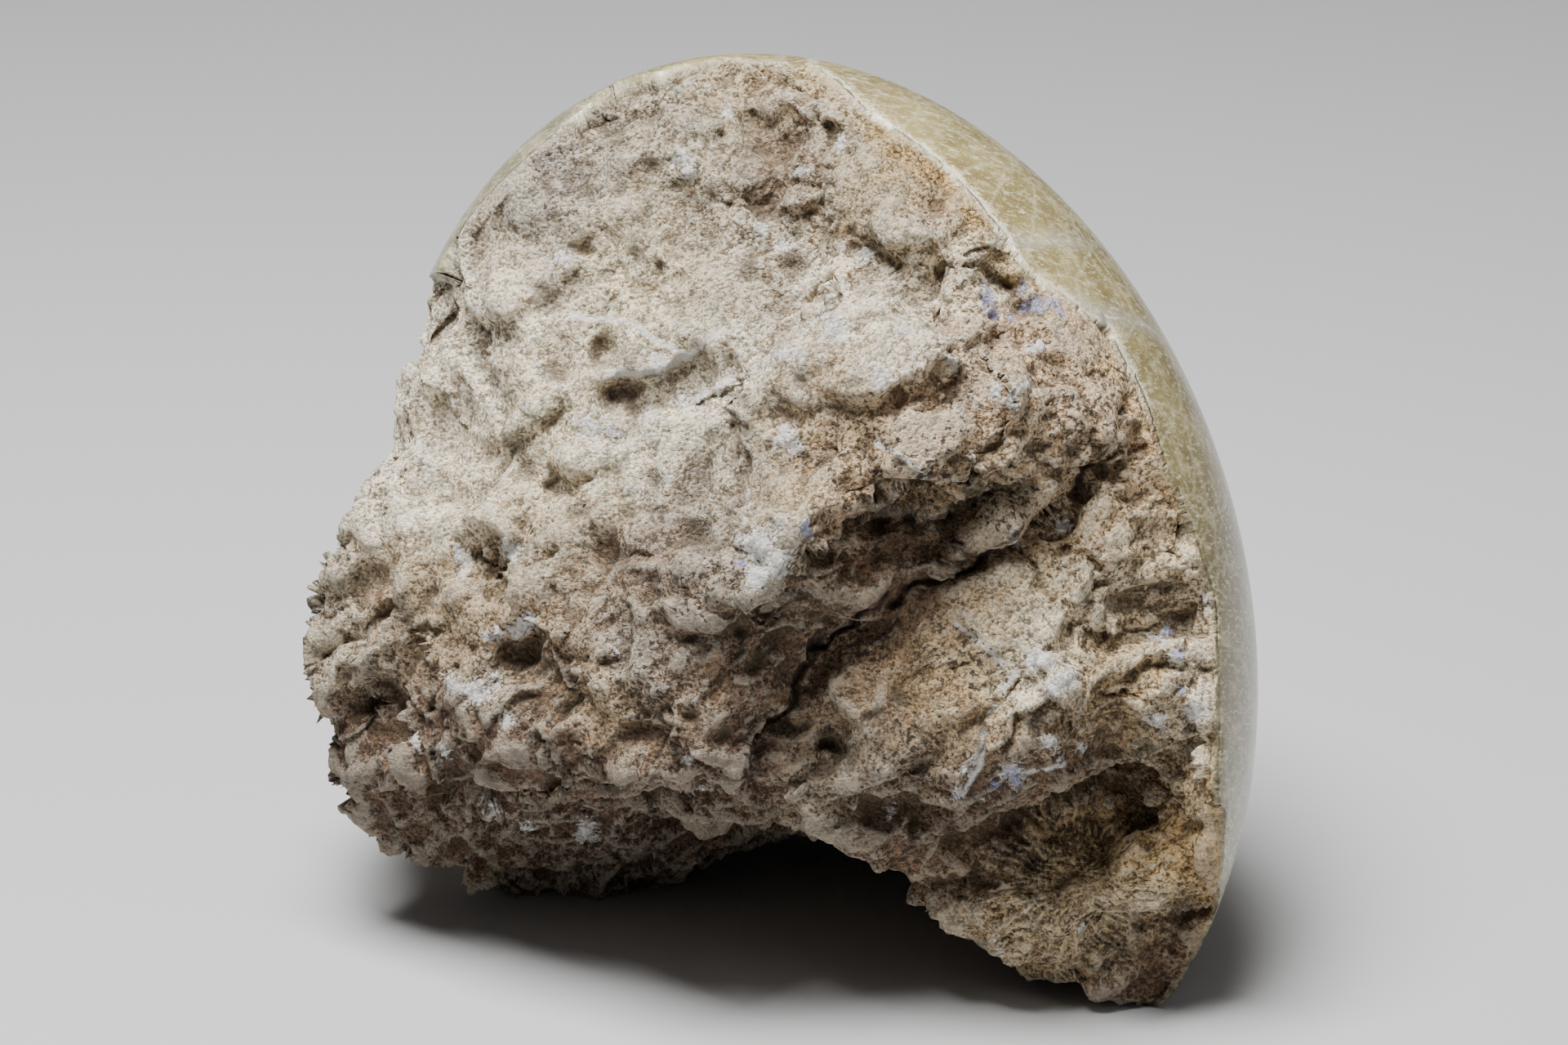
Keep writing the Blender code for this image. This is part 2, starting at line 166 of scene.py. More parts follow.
def linear(shown):
    # a colour from 0 to 1 as seen on a screen, made linear
    return np.where(shown < 0.04045, shown / 12.92, ((shown + 0.055) / 1.055) ** 2.4)


def shade(red, green, blue):
    # a colour from its 0 to 255 values as seen on a screen
    return (*(float(v) for v in linear(np.array([red, green, blue]) / 255)), 1)


def readPoints(mesh, what="co"):
    flat = np.empty(len(mesh.vertices) * 3)
    if what == "co":
        mesh.vertices.foreach_get("co", flat)
    else:
        mesh.vertex_normals.foreach_get("vector", flat)
    return flat.reshape(-1, 3)


def writePoints(mesh, points):
    mesh.vertices.foreach_set("co", points.ravel())
    mesh.update()


def applied(piece):
    mesh = bpy.data.meshes.new_from_object(piece.evaluated_get(bpy.context.evaluated_depsgraph_get()))
    piece.modifiers.clear()
    piece.data = mesh


def neighbours(mesh):
    edges = np.empty(len(mesh.edges) * 2, dtype=np.int32)
    mesh.edges.foreach_get("vertices", edges)
    edges = edges.reshape(-1, 2)
    count = len(mesh.vertices)
    degree = np.bincount(edges.ravel(), minlength=count)

    def average(values):
        total = np.empty_like(values)
        for i in range(values.shape[1]):
            total[:, i] = np.bincount(edges[:, 0], values[edges[:, 1], i], count)
            total[:, i] += np.bincount(edges[:, 1], values[edges[:, 0], i], count)
        return total / degree[:, None]

    return average


# The stone's mesh. Lengths are in mm, and the edges lie along z of the break's axes.
stone = {
    "node": "coral_head",
    "voxel": 0.37,
    "rounds": 6,  # smoothing rounds that take the flat facets off the CAD stone
    "triangles": 196000,
    "polishDepth": 0.4,  # stone this close to the dome's shape was polished with it
    "breakEdge": -7.0,  # the break goes round the stone's left side to here,
    "topEdge": 3.0,  # ends at the crest on top,
    "shoulderEdge": -17.0,  # and goes further round at the left shoulder
    "edgeWander": (3.0, 1.5),  # size and reach
}

# Where the rim of the dome runs, as paths in the break's axes
rim = {
    "right": [(-3, 62), (-1.5, 54.5), (1, 52.5), (3.5, 49.5), (7, 47), (11, 44), (15, 39.5), (17.5, 36),
              (18.6, 33.5), (20.5, 31.7), (23.7, 30), (25.4, 28.4), (27.8, 27.4), (28.4, 25), (30, 22.6),
              (31.3, 19.5), (33, 13), (35.5, 7.5), (37.6, 1),
              (38, -6), (38, -12.5), (37.7, -17.5), (38.5, -22), (38.8, -26.5), (38.2, -31), (36.5, -36),
              (34, -40), (32.5, -44), (32, -60)],
    "topLeft": [(-40, 33), (-36.5, 39.5), (-32.8, 43.2), (-29, 46.6), (-25, 50.2), (-21.5, 53.5),
                (-20, 60)],
}


def evenStone():
    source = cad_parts[stone["node"]]
    bm = bmesh.new()
    bm.from_mesh(source.data)
    bmesh.ops.remove_doubles(bm, verts=bm.verts, dist=1e-6)
    bmesh.ops.scale(bm, vec=(1 / mm,) * 3, verts=bm.verts)
    mesh = bpy.data.meshes.new("fossil_coral")
    bm.to_mesh(mesh)
    bm.free()
    piece = bpy.data.objects.new("fossil_coral", mesh)
    bpy.context.scene.collection.objects.link(piece)
    even = piece.modifiers.new("even", "REMESH")
    even.mode = "VOXEL"
    even.voxel_size = stone["voxel"]
    applied(piece)
    return piece


piece = evenStone()
mesh = piece.data
average = neighbours(mesh)
points = readPoints(mesh)
for turn in range(stone["rounds"]):
    points = 0.4 * points + 0.6 * average(points)
writePoints(mesh, points)
print("stone remeshed,", len(points), "points")

toBreak = standing().inverted()
toBall = (standing() @ domeShape()).inverted()


def domeDepth(points):
    return (1 - np.linalg.norm(moved(toBall, points), axis=1)) * stance["domeHalf"][2]


def onDome(points):
    # pushes points along the line from the dome's middle onto its face
    ball = moved(toBall, points)
    ball /= np.linalg.norm(ball, axis=1)[:, None]
    return moved(toBall.inverted(), ball)


def outsideRim(place):
    # where the dome's own face shows: past the rim, or behind the break
    right = pathGap(place[:, :2], rim["right"])[1] > 0
    topLeft = pathGap(place[:, :2], rim["topLeft"])[1] > 0
    x, y = place[:, 0], place[:, 1]
    top = smooth(40, 50, y)
    shoulder = smooth(37, 30, y) * smooth(4, 10, y) * smooth(-20, -30, x)
    edge = stone["breakEdge"] * (1 - top - shoulder)
    edge += stone["topEdge"] * top + stone["shoulderEdge"] * shoulder
    size, reach = stone["edgeWander"]
    behind = place[:, 2] < edge + reach * noiseAt(place, size, 21)
    return right | (topLeft & (shoulder < 0.5)) | behind


place = moved(toBreak, points)
depth = domeDepth(points)
polished = (np.abs(depth) < stone["polishDepth"]) & outsideRim(place)
points[polished] = onDome(points[polished])
normals = readPoints(mesh, "normal")
place = moved(toBreak, points)
facing = smooth(0.05, 0.45, (normals @ np.array(toBreak)[:3, :3].T)[:, 2])

# Where the break changes character, as round patches (x, y, radius) in the break's axes
zones = {
    "pores": [(17, 9.5, 4), (3, 15, 6), (10, 13, 5), (13, 19, 3.5), (24, 18, 6), (28, 22, 4), (12, -5, 6),
              (3, -4, 4), (8, -14, 5), (-12, 2, 5), (-18, -8, 6)],
    "steps": [(28, 10, 6), (30, 2, 7), (32, -6, 6), (26, 4, 5), (34, -14, 4)],
    "calm": [(0, 26, 5), (8, -2, 6), (4, -9, 6), (16, -1, 5), (-38, 18, 8), (-42, 24, 7), (-28, 26, 8),
             (-12, 18, 8), (-21, 14, 9), (-31, 13, 8), (-14, 30, 8), (-19, 38, 7), (-3, 22, 6), (5, 26, 5),
             (-10, 48, 5), (4, 42, 4), (12, 9, 3), (26, -30, 7), (-30, 34, 7), (-40, 8, 6), (-22, 22, 8),
             (-6, 12, 5), (10, -10, 5)],
}

relief = {
    "bedding": math.radians(27),  # the stone splits along lines that climb to the right
    "stretch": 0.45,  # how much longer the grain is along them
    "warp": (4.0, 1.4),  # size and reach of the wandering of all the patterns
    "plates": [(9, 0.32, 0.22, 0.12), (5, 0.28, 0.16, 0.12), (2.9, 0.18, 0.12, 0.14),
               (1.5, 0.10, 0.10, 0.2)],  # size, tilt, step, seam
    "ridges": (2.6, 0.2),  # size, height
    "grit": (0.8, 0.17),
    "slits": (0.95, 0.32),
    "steps": (1.9, 0.8),
    "pores": (1.6, 0.20, 0.4, 0.5),  # size, radius, share of cells, depth
    "calming": 0.72,  # how much of the relief the calm zones lose
    "behind": 0.6,  # share of the relief on the sides and the underside
    "sunk": 0.8,
    "raised": 0.4,
    "shoulder": 1.5,  # the left shoulder is broken this far inside the dome's shape
}

# Patches of colour on the break, (x, y, radius). The shadow ones are painted shadow and are sunk; the
# white ones are raised.
stains = {
    "shadow": [
        (-28.5, 30.6, 1.8), (-27.7, 23.6, 1.3), (-22.8, 25.3, 1.4), (-19.2, 24.8, 1.1),
        (-22.4, 20.3, 1.4), (-19.5, 19.8, 1), (-31.5, 16.3, 1.5), (-30.5, 13.5, 1.2), (-27.1, 12.1, 1.1),
        (-23.5, 12.8, 0.6), (-17.2, 12, 1), (-24.4, 9.2, 1.1), (-20, 10, 1), (-16.9, 9.4, 1),
        (-13.3, 7, 1.6), (-11.3, 5.8, 1), (-20, 4.2, 1.3), (-8.5, 20.3, 0.9), (-5.3, 20.6, 1),
        (-2.5, 21.7, 0.8), (2.2, 21.6, 0.9), (-4.1, 18.4, 0.6), (-6.1, 51.1, 0.7), (-6.9, 49.5, 0.6),
        (-5.3, 48.3, 0.6), (-2.5, 50.8, 0.6), (-11, 47.2, 0.6), (-8.6, 44.1, 1), (-7.3, 45.8, 1),
        (-21.4, 47.2, 1.1), (-17.7, 44, 1.1), (-21.2, 42.2, 1.1), (-15.7, 41.9, 0.8), (-11.8, 41.5, 0.6),
        (-24, 41.4, 0.8), (-27.3, 38.9, 1), (-28.2, 42.2, 0.7), (-19.3, 35, 0.9), (-17.5, 33.7, 0.7),
        (-7.8, 33.7, 1.1), (-4.3, 34.2, 0.8), (-2.1, 38.3, 1.1), (0.2, 39.9, 0.6), (12.6, 36.5, 0.7),
        (-33.4, 4.3, 0.8), (-40.1, 0.9, 1.2), (-43.4, -0.9, 1.4),
        (-27.3, 1.5, 0.8), (-28.2, -5.8, 1.1), (-30.5, -9.7, 1), (-26.5, -10.5, 0.8), (-40.4, -6, 0.7),
        (-17.2, -10.3, 0.9), (-13.9, -10.8, 0.7), (-10.1, -12.2, 0.9), (-6.9, -4.5, 1), (-6.1, -0.2, 1),
        (-8.9, -2.6, 0.7), (-13.3, -2.6, 0.7), (-33.8, -17.7, 1), (-27.3, -18, 1.3), (-21.6, -18.3, 1.3),
        (-0.5, -12.9, 0.9), (31.1, -13.8, 0.8), (35.3, -31, 1.3), (31.3, -31.6, 1), (13.4, -29, 0.8),
        (19.9, -25.8, 1.1), (19.1, -21.9, 1), (17.2, 31.7, 0.7), (18.8, 29.3, 0.7), (16, 25.1, 0.6),
        (6.9, 20.3, 0.7), (21.8, 18.2, 0.7), (18.3, 11.3, 1.3), (13.6, 12, 1),
        (23.4, 14.9, 0.6), (29.9, 17.1, 0.6), (28.7, 18.9, 0.5), (33.6, 10.2, 0.6), (10.2, 29.9, 0.6),
        (4.6, 9.4, 1.1), (8.1, 9.4, 1.2), (11.6, 9.1, 1), (30.3, 7, 0.6), (27.9, 4.2, 0.6),
        (33.6, 3.3, 0.6), (27.1, -3.1, 0.6), (25.4, 0.2, 0.6), (36.8, -6.4, 0.6), (6.7, -8.5, 1.1),
        (3.5, -10.9, 1), (1.9, -14.9, 1), (20.2, -11.7, 0.8)
    ],
    "white": [
        (-23.6, 17.4, 1.1), (-21.6, 17, 0.6), (-18, 18.6, 0.6), (-12.5, 21.1, 0.6), (-14.9, 20.2, 0.5),
        (0.1, 27.3, 1.1), (1.4, 26.2, 0.8), (6.5, 26.7, 0.6), (4.8, 22.2, 0.9), (-4.9, 24.1, 0.7),
        (-3.3, 24.9, 0.6), (-4.3, 16.6, 1), (-3.3, 15.5, 0.6), (-31.7, 5.6, 0.9), (-36.6, 4.8, 0.7),
        (-36.4, 3.2, 0.5), (-34.6, -8.5, 1.1), (-37.4, -7.9, 0.7), (-32.1, -11.8, 0.6),
        (-38.2, -14.6, 0.6), (-41.5, -14.2, 0.5), (-30.5, -22.9, 0.7), (-24.8, -23.5, 0.9),
        (-34.4, -21.1, 0.7), (-6.9, 6, 1.2), (-7.3, 3.4, 1), (-5.3, 4.2, 1), (-5.3, 8.2, 0.6),
        (-13.3, -9.2, 0.4), (-13.7, -15.3, 0.6), (-12.8, -18.7, 0.4), (11.6, 23.6, 0.6),
        (15.7, 20.8, 0.5), (17.5, 20.6, 0.6), (18.8, 21.7, 0.5), (17.2, 19.4, 0.6), (14, 14.3, 0.3),
        (20.2, 25.1, 0.6), (22.6, 8, 0.6), (17.8, 6.4, 0.5), (12.9, 31.6, 0.4), (14.2, -14.9, 0.5),
        (13.6, -16.2, 0.6), (12.6, -18.1, 0.5), (22.6, -6.8, 1), (21.4, -7.9, 0.8), (20.4, -4.7, 1),
        (21.4, -13, 0.7), (22.8, -14.9, 0.4), (24.6, -14, 0.4), (18.1, -16.5, 0.9), (6.1, -19.9, 0.5),
        (32.3, -3.1, 0.6), (33.6, -5.2, 0.8), (32.1, -11.2, 0.8), (36, -10.3, 0.9), (37.2, 0.5, 0.6),
        (25.2, -32.5, 0.3), (15.8, -32.9, 0.3), (17, -34.5, 0.4), (-14.9, 44.6, 0.7), (-14.1, 43.3, 0.6),
        (-10.2, 49.7, 0.5), (-6.8, 37.4, 0.7), (-4.3, 35.6, 0.5), (1.2, 35.4, 0.4), (3.6, 34.9, 0.6),
        (-27.1, 34.9, 0.9), (17.5, 37.1, 0.9), (16.2, 35.8, 0.7), (18.7, 35.8, 0.6), (-2.5, 43.2, 0.5),
        (0.8, 45.8, 0.4), (-16.1, 13, 0.4), (-19.6, 12, 0.3), (-20.4, 23.2, 0.6), (-17.2, 23.7, 0.7),
        (-14.2, 24.5, 0.6), (-2.5, 8, 0.4), (-7.7, 10.4, 0.3), (-21.1, -4.5, 0.4), (-30.5, -2, 1),
        (-33.8, -2.8, 0.7)
    ],
    "lavender": [
        (15.4, 30.2, 0.8), (16.1, 28.9, 0.6), (17.7, 28.2, 0.4), (18.9, 31, 0.6), (19.6, 29.7, 0.6),
        (21.3, 30, 0.6), (22.4, 29.2, 0.6), (15.1, 31.6, 0.4), (18.3, -16.9, 0.7), (16.2, -17.7, 0.5),
        (33.1, -2.2, 0.6), (34, -4.8, 0.6), (34.4, -8.4, 0.4), (-2.5, 7.4, 0.6), (-8.9, 4.2, 0.5),
        (29.9, 28.8, 0.6)
    ],
    "rust": [
        (12.8, 27.1, 0.7), (17.5, 27.1, 0.4), (22.8, 15.8, 0.7), (16.4, 18.4, 0.7), (13.8, 17.5, 0.7),
        (7.9, 38.9, 0.5), (10.9, 39.3, 0.6), (13.1, 38.1, 0.5), (14.4, 34.7, 0.6), (7.1, 32.7, 0.6),
        (0.5, 27.4, 0.4), (2.3, 20.3, 0.4), (2.7, 4.2, 1), (5.9, 5, 0.6), (-10.1, -8.5, 1),
        (-12.5, -6.1, 1), (-28.9, -9.3, 0.8), (-26.5, -13.3, 0.7), (10.5, 12.1, 0.5), (-46, 0.5, 1.1),
        (-46, -19.4, 1.1), (-41.9, -20.3, 1), (36.8, -17.7, 0.6), (13, -10.9, 0.6), (23.4, 13.4, 0.5)
    ],
}

# Sharp forms on the break: path, height on its left (and fall on its right), reach
ledges = [
    ([(-7.5, 25.5), (-5, 28.4), (0.8, 29.8), (6, 29.2), (10, 27.8), (12.6, 25)], -1.1, 2.4),
    ([(14.6, 26), (16.2, 22), (17.4, 18), (17.2, 14)], 0.9, 1.8),
    ([(-9.2, 24), (-9.4, 17), (-8.6, 12.5), (-9.4, 7)], 0.9, 2.2),
    ([(-28, 10.8), (-22, 9.2), (-16, 9.6), (-11, 8.4)], -0.5, 1.8),
    ([(-38, 12), (-32, 9.6), (-27, 6)], -0.6, 2.2),
    ([(-27.5, 27.5), (-20, 31.5), (-12, 33.2)], -0.5, 2.4),
    ([(-26.5, 0.4), (-26.4, -3.0), (-28.2, -4.6), (-31, -4.7), (-34.5, -3.6)], -0.6, 1.2),
    ([(4.4, 15.2), (6.6, 13.9), (9.2, 12.4)], 0.6, 1.0),
    ([(-2.5, 7.1), (-0.5, 7.6), (2.2, 8.6), (5.7, 10.4), (8.9, 11.4), (12.8, 11.5), (16.4, 12.8),
      (19.9, 14.5)], 0.9, 1.4),
    ([(-10.1, 2.2), (-8.9, 0.4), (-6.9, -0.1), (-4.9, 0.7), (-3.3, 1.7), (-1.3, 0.7),
      (1.1, -0.4)], 1.0, 1.5),
    ([(14.6, -17), (17.6, -11), (21, -9.4), (24.4, -11.5), (25, -15)], 0.7, 1.6),
    ([(-10.5, -1.2), (-8.6, -0.6), (-6.2, -1.4), (-3.5, 0)], 0.8, 1.6),
    ([(14.5, -11), (14.2, -15.5), (12.6, -18.8)], -0.5, 1.6),
    ([(22.5, 6.5), (27, 4.5), (31, 4.8)], 0.35, 1.5),
    ([(24, -1.5), (28, -2.6), (33, -2)], 0.6, 1.5),
    ([(26, -7.6), (30, -8.8), (35, -7.8)], 0.5, 1.5),
    ([(9, 33.2), (13, 34), (16.4, 33)], 0.4, 1.2),
    ([(-22, 23.2), (-18, 22.6), (-14, 24.6)], 0.5, 1.2),
    ([(-13.6, 20.2), (-9.2, 22.6)], 0.5, 1.2),
]
grooves = [
    # path, depth, half width
    ([(-7.5, -12.2), (-4.7, -9.9), (-2.7, -6), (0.5, -2.4), (4.5, 0.2), (7.7, 1.9), (11, 2.7), (13.6, 3.8),
      (16.9, 6.1), (20.1, 8.7), (23.7, 10.7), (25, 12.9), (27.7, 15.9)], 1.6, 0.42),
    ([(15.6, 33.2), (17.3, 31.4), (19.2, 28.8)], 1.6, 0.8),
    ([(-41, -4.9), (-42.4, -7), (-43.9, -9.2)], 0.6, 0.6),
    ([(-46.5, -9.5), (-45.6, -12), (-44.6, -14.8)], 0.6, 0.7),
    ([(21.5, 25), (24, 21.5), (25.4, 17), (25.6, 14)], 0.9, 0.6),
    ([(27.4, -14), (29.4, -15.5), (31.5, -17.5)], 1.0, 0.8),
    ([(17, 6.3), (19.6, 4.2), (22.4, -1.2), (24.2, -6.6)], 1.0, 0.6),
    ([(2.2, 35.2), (7, 34.6), (13.2, 35)], 0.4, 0.5),
    ([(-38.5, -16.6), (-35, -17.6), (-31, -18.3), (-26.5, -17.8), (-21, -18.6)], 1.8, 1.0),
]
hollows = [
    # centre, radius, depth
    ((0.2, -13.2), 1.5, 1.8),
    ((16.2, 25.8), 0.9, 1.4),
    ((-22.6, 25.4), 1.1, 0.9),
    ((-20.2, 21.2), 1.5, 1.2),
    ((-27.6, 11.0), 1.1, 0.9),
    ((-30.8, 7.8), 1.0, 0.9),
    ((-19.6, -4.8), 1.2, 0.7),
]
swells = [
    # centre, radius, rise
    ((2.5, 22.5), 6.5, 1.5),
    ((11.4, 20.2), 2.0, -1.0),
    ((9.5, 31.8), 2.6, -0.8),
    ((-12.5, 15), 4.0, -0.9),
    ((-4.5, 4.5), 3.0, 0.9),
    ((-21.2, 21), 2.0, -0.9),
    ((-26.4, 17.2), 2.6, 0.9),
    ((-31.4, 33.4), 3.0, -0.9),
    ((-18.3, 35.4), 3.4, 0.9),
    ((-36.5, 19.2), 3.0, 0.9),
    ((-27.1, 6.4), 2.2, 0.7),
    ((-21, -1.8), 2.6, -0.9),
    ((-40.5, 2.1), 3.0, -0.6),
    ((-13.1, 2.1), 3.0, -0.7),
    ((-7.2, 48.5), 2.4, -0.8),
    ((-16.3, 44.5), 3.0, 0.8),
]
fans = {
    # centre, radius, ribs round the full circle, rib height
    "block": ((5.6, -8.8), 10.0, 90, 0.08),
    "foot": ((25.0, -28.2), 11.5, 50, 0.6),
    "brow": ((-19.6, 2.6), 9.0, 80, 0.06),
    "knob": ((-1.4, 20.6), 5.5, 60, 0.05),
    "crown": ((-13.0, 41.5), 8.0, 60, 0.08),
}
combs = [
    # rows of cut ribs: centre, half width, half height, spacing, direction of the rows, height
    ((33.5, -1.5), 3.0, 9.5, 1.05, 90, 0.3),
    ((3.2, 44.5), 3.4, 5.0, 0.85, 4, 0.22),
    ((-5.0, 37.5), 1.2, 4.0, 0.8, 2, 0.22),
]


def fanRibs(xy, centre, radius, ribs, warp):
    offset = xy - centre
    reach = np.hypot(offset[:, 0], offset[:, 1])
    angle = np.arctan2(offset[:, 1], offset[:, 0])
    wave = 0.5 + 0.5 * np.cos(ribs * angle + warp)
    return (wave ** 1.5) * smooth(radius, radius * 0.75, reach) * smooth(0.8, 2.5, reach)


def combRibs(xy, centre, halfWidth, halfHeight, spacing, turn, warp):
    offset = xy - centre
    turn = math.radians(turn)
    across = offset[:, 0] * math.cos(turn) + offset[:, 1] * math.sin(turn)
    wave = 0.5 + 0.5 * np.cos(2 * math.pi * across / spacing + warp)
    inside = smooth(1, 0.7, np.hypot(offset[:, 0] / halfWidth, offset[:, 1] / halfHeight))
    return wave * inside


def strokes(xy, bend):
    # the sharp forms' height over the break. bend wanders their paths, in mm
    xy = xy + bend
    height = np.zeros(len(xy))
    for path, rise, reach in ledges:
        gap, side, share = pathGap(xy, path)
        height += side * rise * np.exp(-gap / reach) * smooth(0, 0.2, share) * smooth(1, 0.8, share)
    for path, fall, halfWidth in grooves:
        height -= fall * np.exp(-(pathGap(xy, path)[0] / halfWidth) ** 2)
    for centre, radius, fall in hollows:
        height -= fall * np.exp(-(np.linalg.norm(xy - centre, axis=1) / radius) ** 4)
    for centre, radius, rise in swells:
        height += rise * np.exp(-(np.linalg.norm(xy - centre, axis=1) / radius) ** 2)
    ripple = bend.sum(axis=1) * 2.0
    for centre, radius, ribs, rise in fans.values():
        height += rise * fanRibs(xy, centre, radius, ribs, ripple)
    for centre, halfWidth, halfHeight, spacing, turn, rise in combs:
        height += rise * combRibs(xy, centre, halfWidth, halfHeight, spacing, turn, ripple)
    return height


rough = ~polished
here = points[rough]
xy = place[rough, :2]
front = facing[rough]
shoulder = smooth(38, 32, xy[:, 1]) * smooth(8, 14, xy[:, 1]) * smooth(-30, -37, xy[:, 0])
size, reach = relief["warp"]
warp = np.column_stack([noiseAt(here, size, shift) for shift in (0, 31, 67)]) * reach
calm = 1 - relief["calming"] * spots(xy, zones["calm"]) * front

# the grain runs along the bedding on the break, and evenly elsewhere
bedded = moved(Matrix.Rotation(-relief["bedding"], 4, "Z"), place[rough])
flow = 1 - relief["stretch"] * front[:, None] * (1, 0, 0.45)

# relief along the surface's own normals
lift = np.zeros(len(here))
for size, tilt, step, seam in relief["plates"]:
    lift += plates(bedded * flow + warp * 0.8, size, tilt, step, seam) * calm
size, height = relief["ridges"]
lift += height * (0.3 - np.abs(fractalAt(bedded * flow + warp, size, 3, 11))) * (0.3 + 0.7 * calm)
size, height = relief["grit"]
lift += height * fractalAt(here, size, 3, 5) * (0.6 + 0.4 * calm)
size, height = relief["slits"]
cuts = smooth(0.3, 0.5, noiseAt(bedded * flow ** 2 + warp * 0.3, size, 33))
lift -= height * cuts * (0.35 + 0.65 * calm)
size, height = relief["steps"]
rows = place[rough] * (0.4, 1.0, 0.6) + warp * 0.5
lift += height * (0.5 - np.abs(noiseAt(rows, size, 3)) * 2.4) * spots(xy, zones["steps"]) * front
size, radius, keep, fall = relief["pores"]
porous = 0.15 + 0.85 * spots(xy, zones["pores"]) * front
lift -= fall * pits(here + warp * 0.4, size, radius, keep) * porous
lift -= 0.5 * fall * pits(here + warp * 0.4 + 50, size * 0.62, radius, keep) * porous
lift *= relief["behind"] + (1 - relief["behind"]) * front
lift -= relief["shoulder"] * shoulder * (1 + 1.2 * noiseAt(here, 6.0, 71))
move = lift[:, None] * normals[rough]

# sharp forms and sunk or raised patches, straight out of the break
bend = np.column_stack([noiseAt(here, 2.5, shift) for shift in (13, 47)]) * 1.1
outward = np.array(standing())[:3, 2]
forms = strokes(xy, bend) - relief["sunk"] * spots(xy + warp[:, :2] * 0.5, stains["shadow"])
forms += relief["raised"] * spots(xy + warp[:, :2] * 0.5, stains["white"])
move += (forms * front)[:, None] * outward

# nothing near the dome rises past its shape
away = (move * normals[rough]).sum(axis=1)
room = np.maximum(0, depth[rough] - 0.05)
outside = (depth[rough] < 0) | (front > 0.5) & (depth[rough] > 3)
excess = np.where(outside, 0, np.maximum(0, away - room))
points[rough] = here + move - excess[:, None] * normals[rough]
print("break roughened")


def finishShape():
    writePoints(mesh, points)
    mesh.transform(Matrix.Scale(mm, 4))
    fewer = piece.modifiers.new("fewer", "DECIMATE")
    faces = sum(len(face.vertices) - 2 for face in mesh.polygons)
    fewer.ratio = min(1, stone["triangles"] / faces)
    applied(piece)
    low, high = np.array(cadBox)
    writePoints(piece.data, np.clip(readPoints(piece.data), low + 1e-6, high - 1e-6))
    piece.data.shade_smooth()


finishShape()
mesh = piece.data
print("stone has", sum(len(face.vertices) - 2 for face in mesh.polygons), "triangles")

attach(piece, "root")
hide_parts(stone["node"])


# What the finish needs to know about each point of the stone

points = readPoints(mesh) / mm
normals = readPoints(mesh, "normal")
place = moved(toBreak, points)
xy = place[:, :2]
facing = smooth(-0.15, 0.3, (normals @ np.array(toBreak)[:3, :3].T)[:, 2])
average = neighbours(mesh)


def hollowness(rounds, full):
    # how far the surface lies below its surroundings, 0 to 1, and above them
    around = points
    for turn in range(rounds):
        around = average(around)
    sunk = ((around - points) * normals).sum(axis=1)
    return np.clip(sunk / full, 0, 1), np.clip(-sunk / full, 0, 1)


# the finish darkens these hollows with dirt and painted shade
fineHollow, fineCrest = hollowness(5, 0.28)
broadHollow, broadCrest = hollowness(45, 1.1)
depth = domeDepth(points)
polish = smooth(0.3, 0.14, np.abs(depth - 0.02)) * outsideRim(place)

# Colours on screen, 0 to 255
tones = {
    "cream": (214, 201, 172),
    "chalk": (234, 226, 209),
    "tan": (178, 157, 126),
    "pink": (182, 154, 128),
    "sand": (190, 170, 138),
    "greyTan": (164, 154, 138),
    "grey": (150, 148, 144),
    "brown": (120, 98, 78),
    "umber": (92, 72, 56),
    "ochre": (172, 144, 98),
}
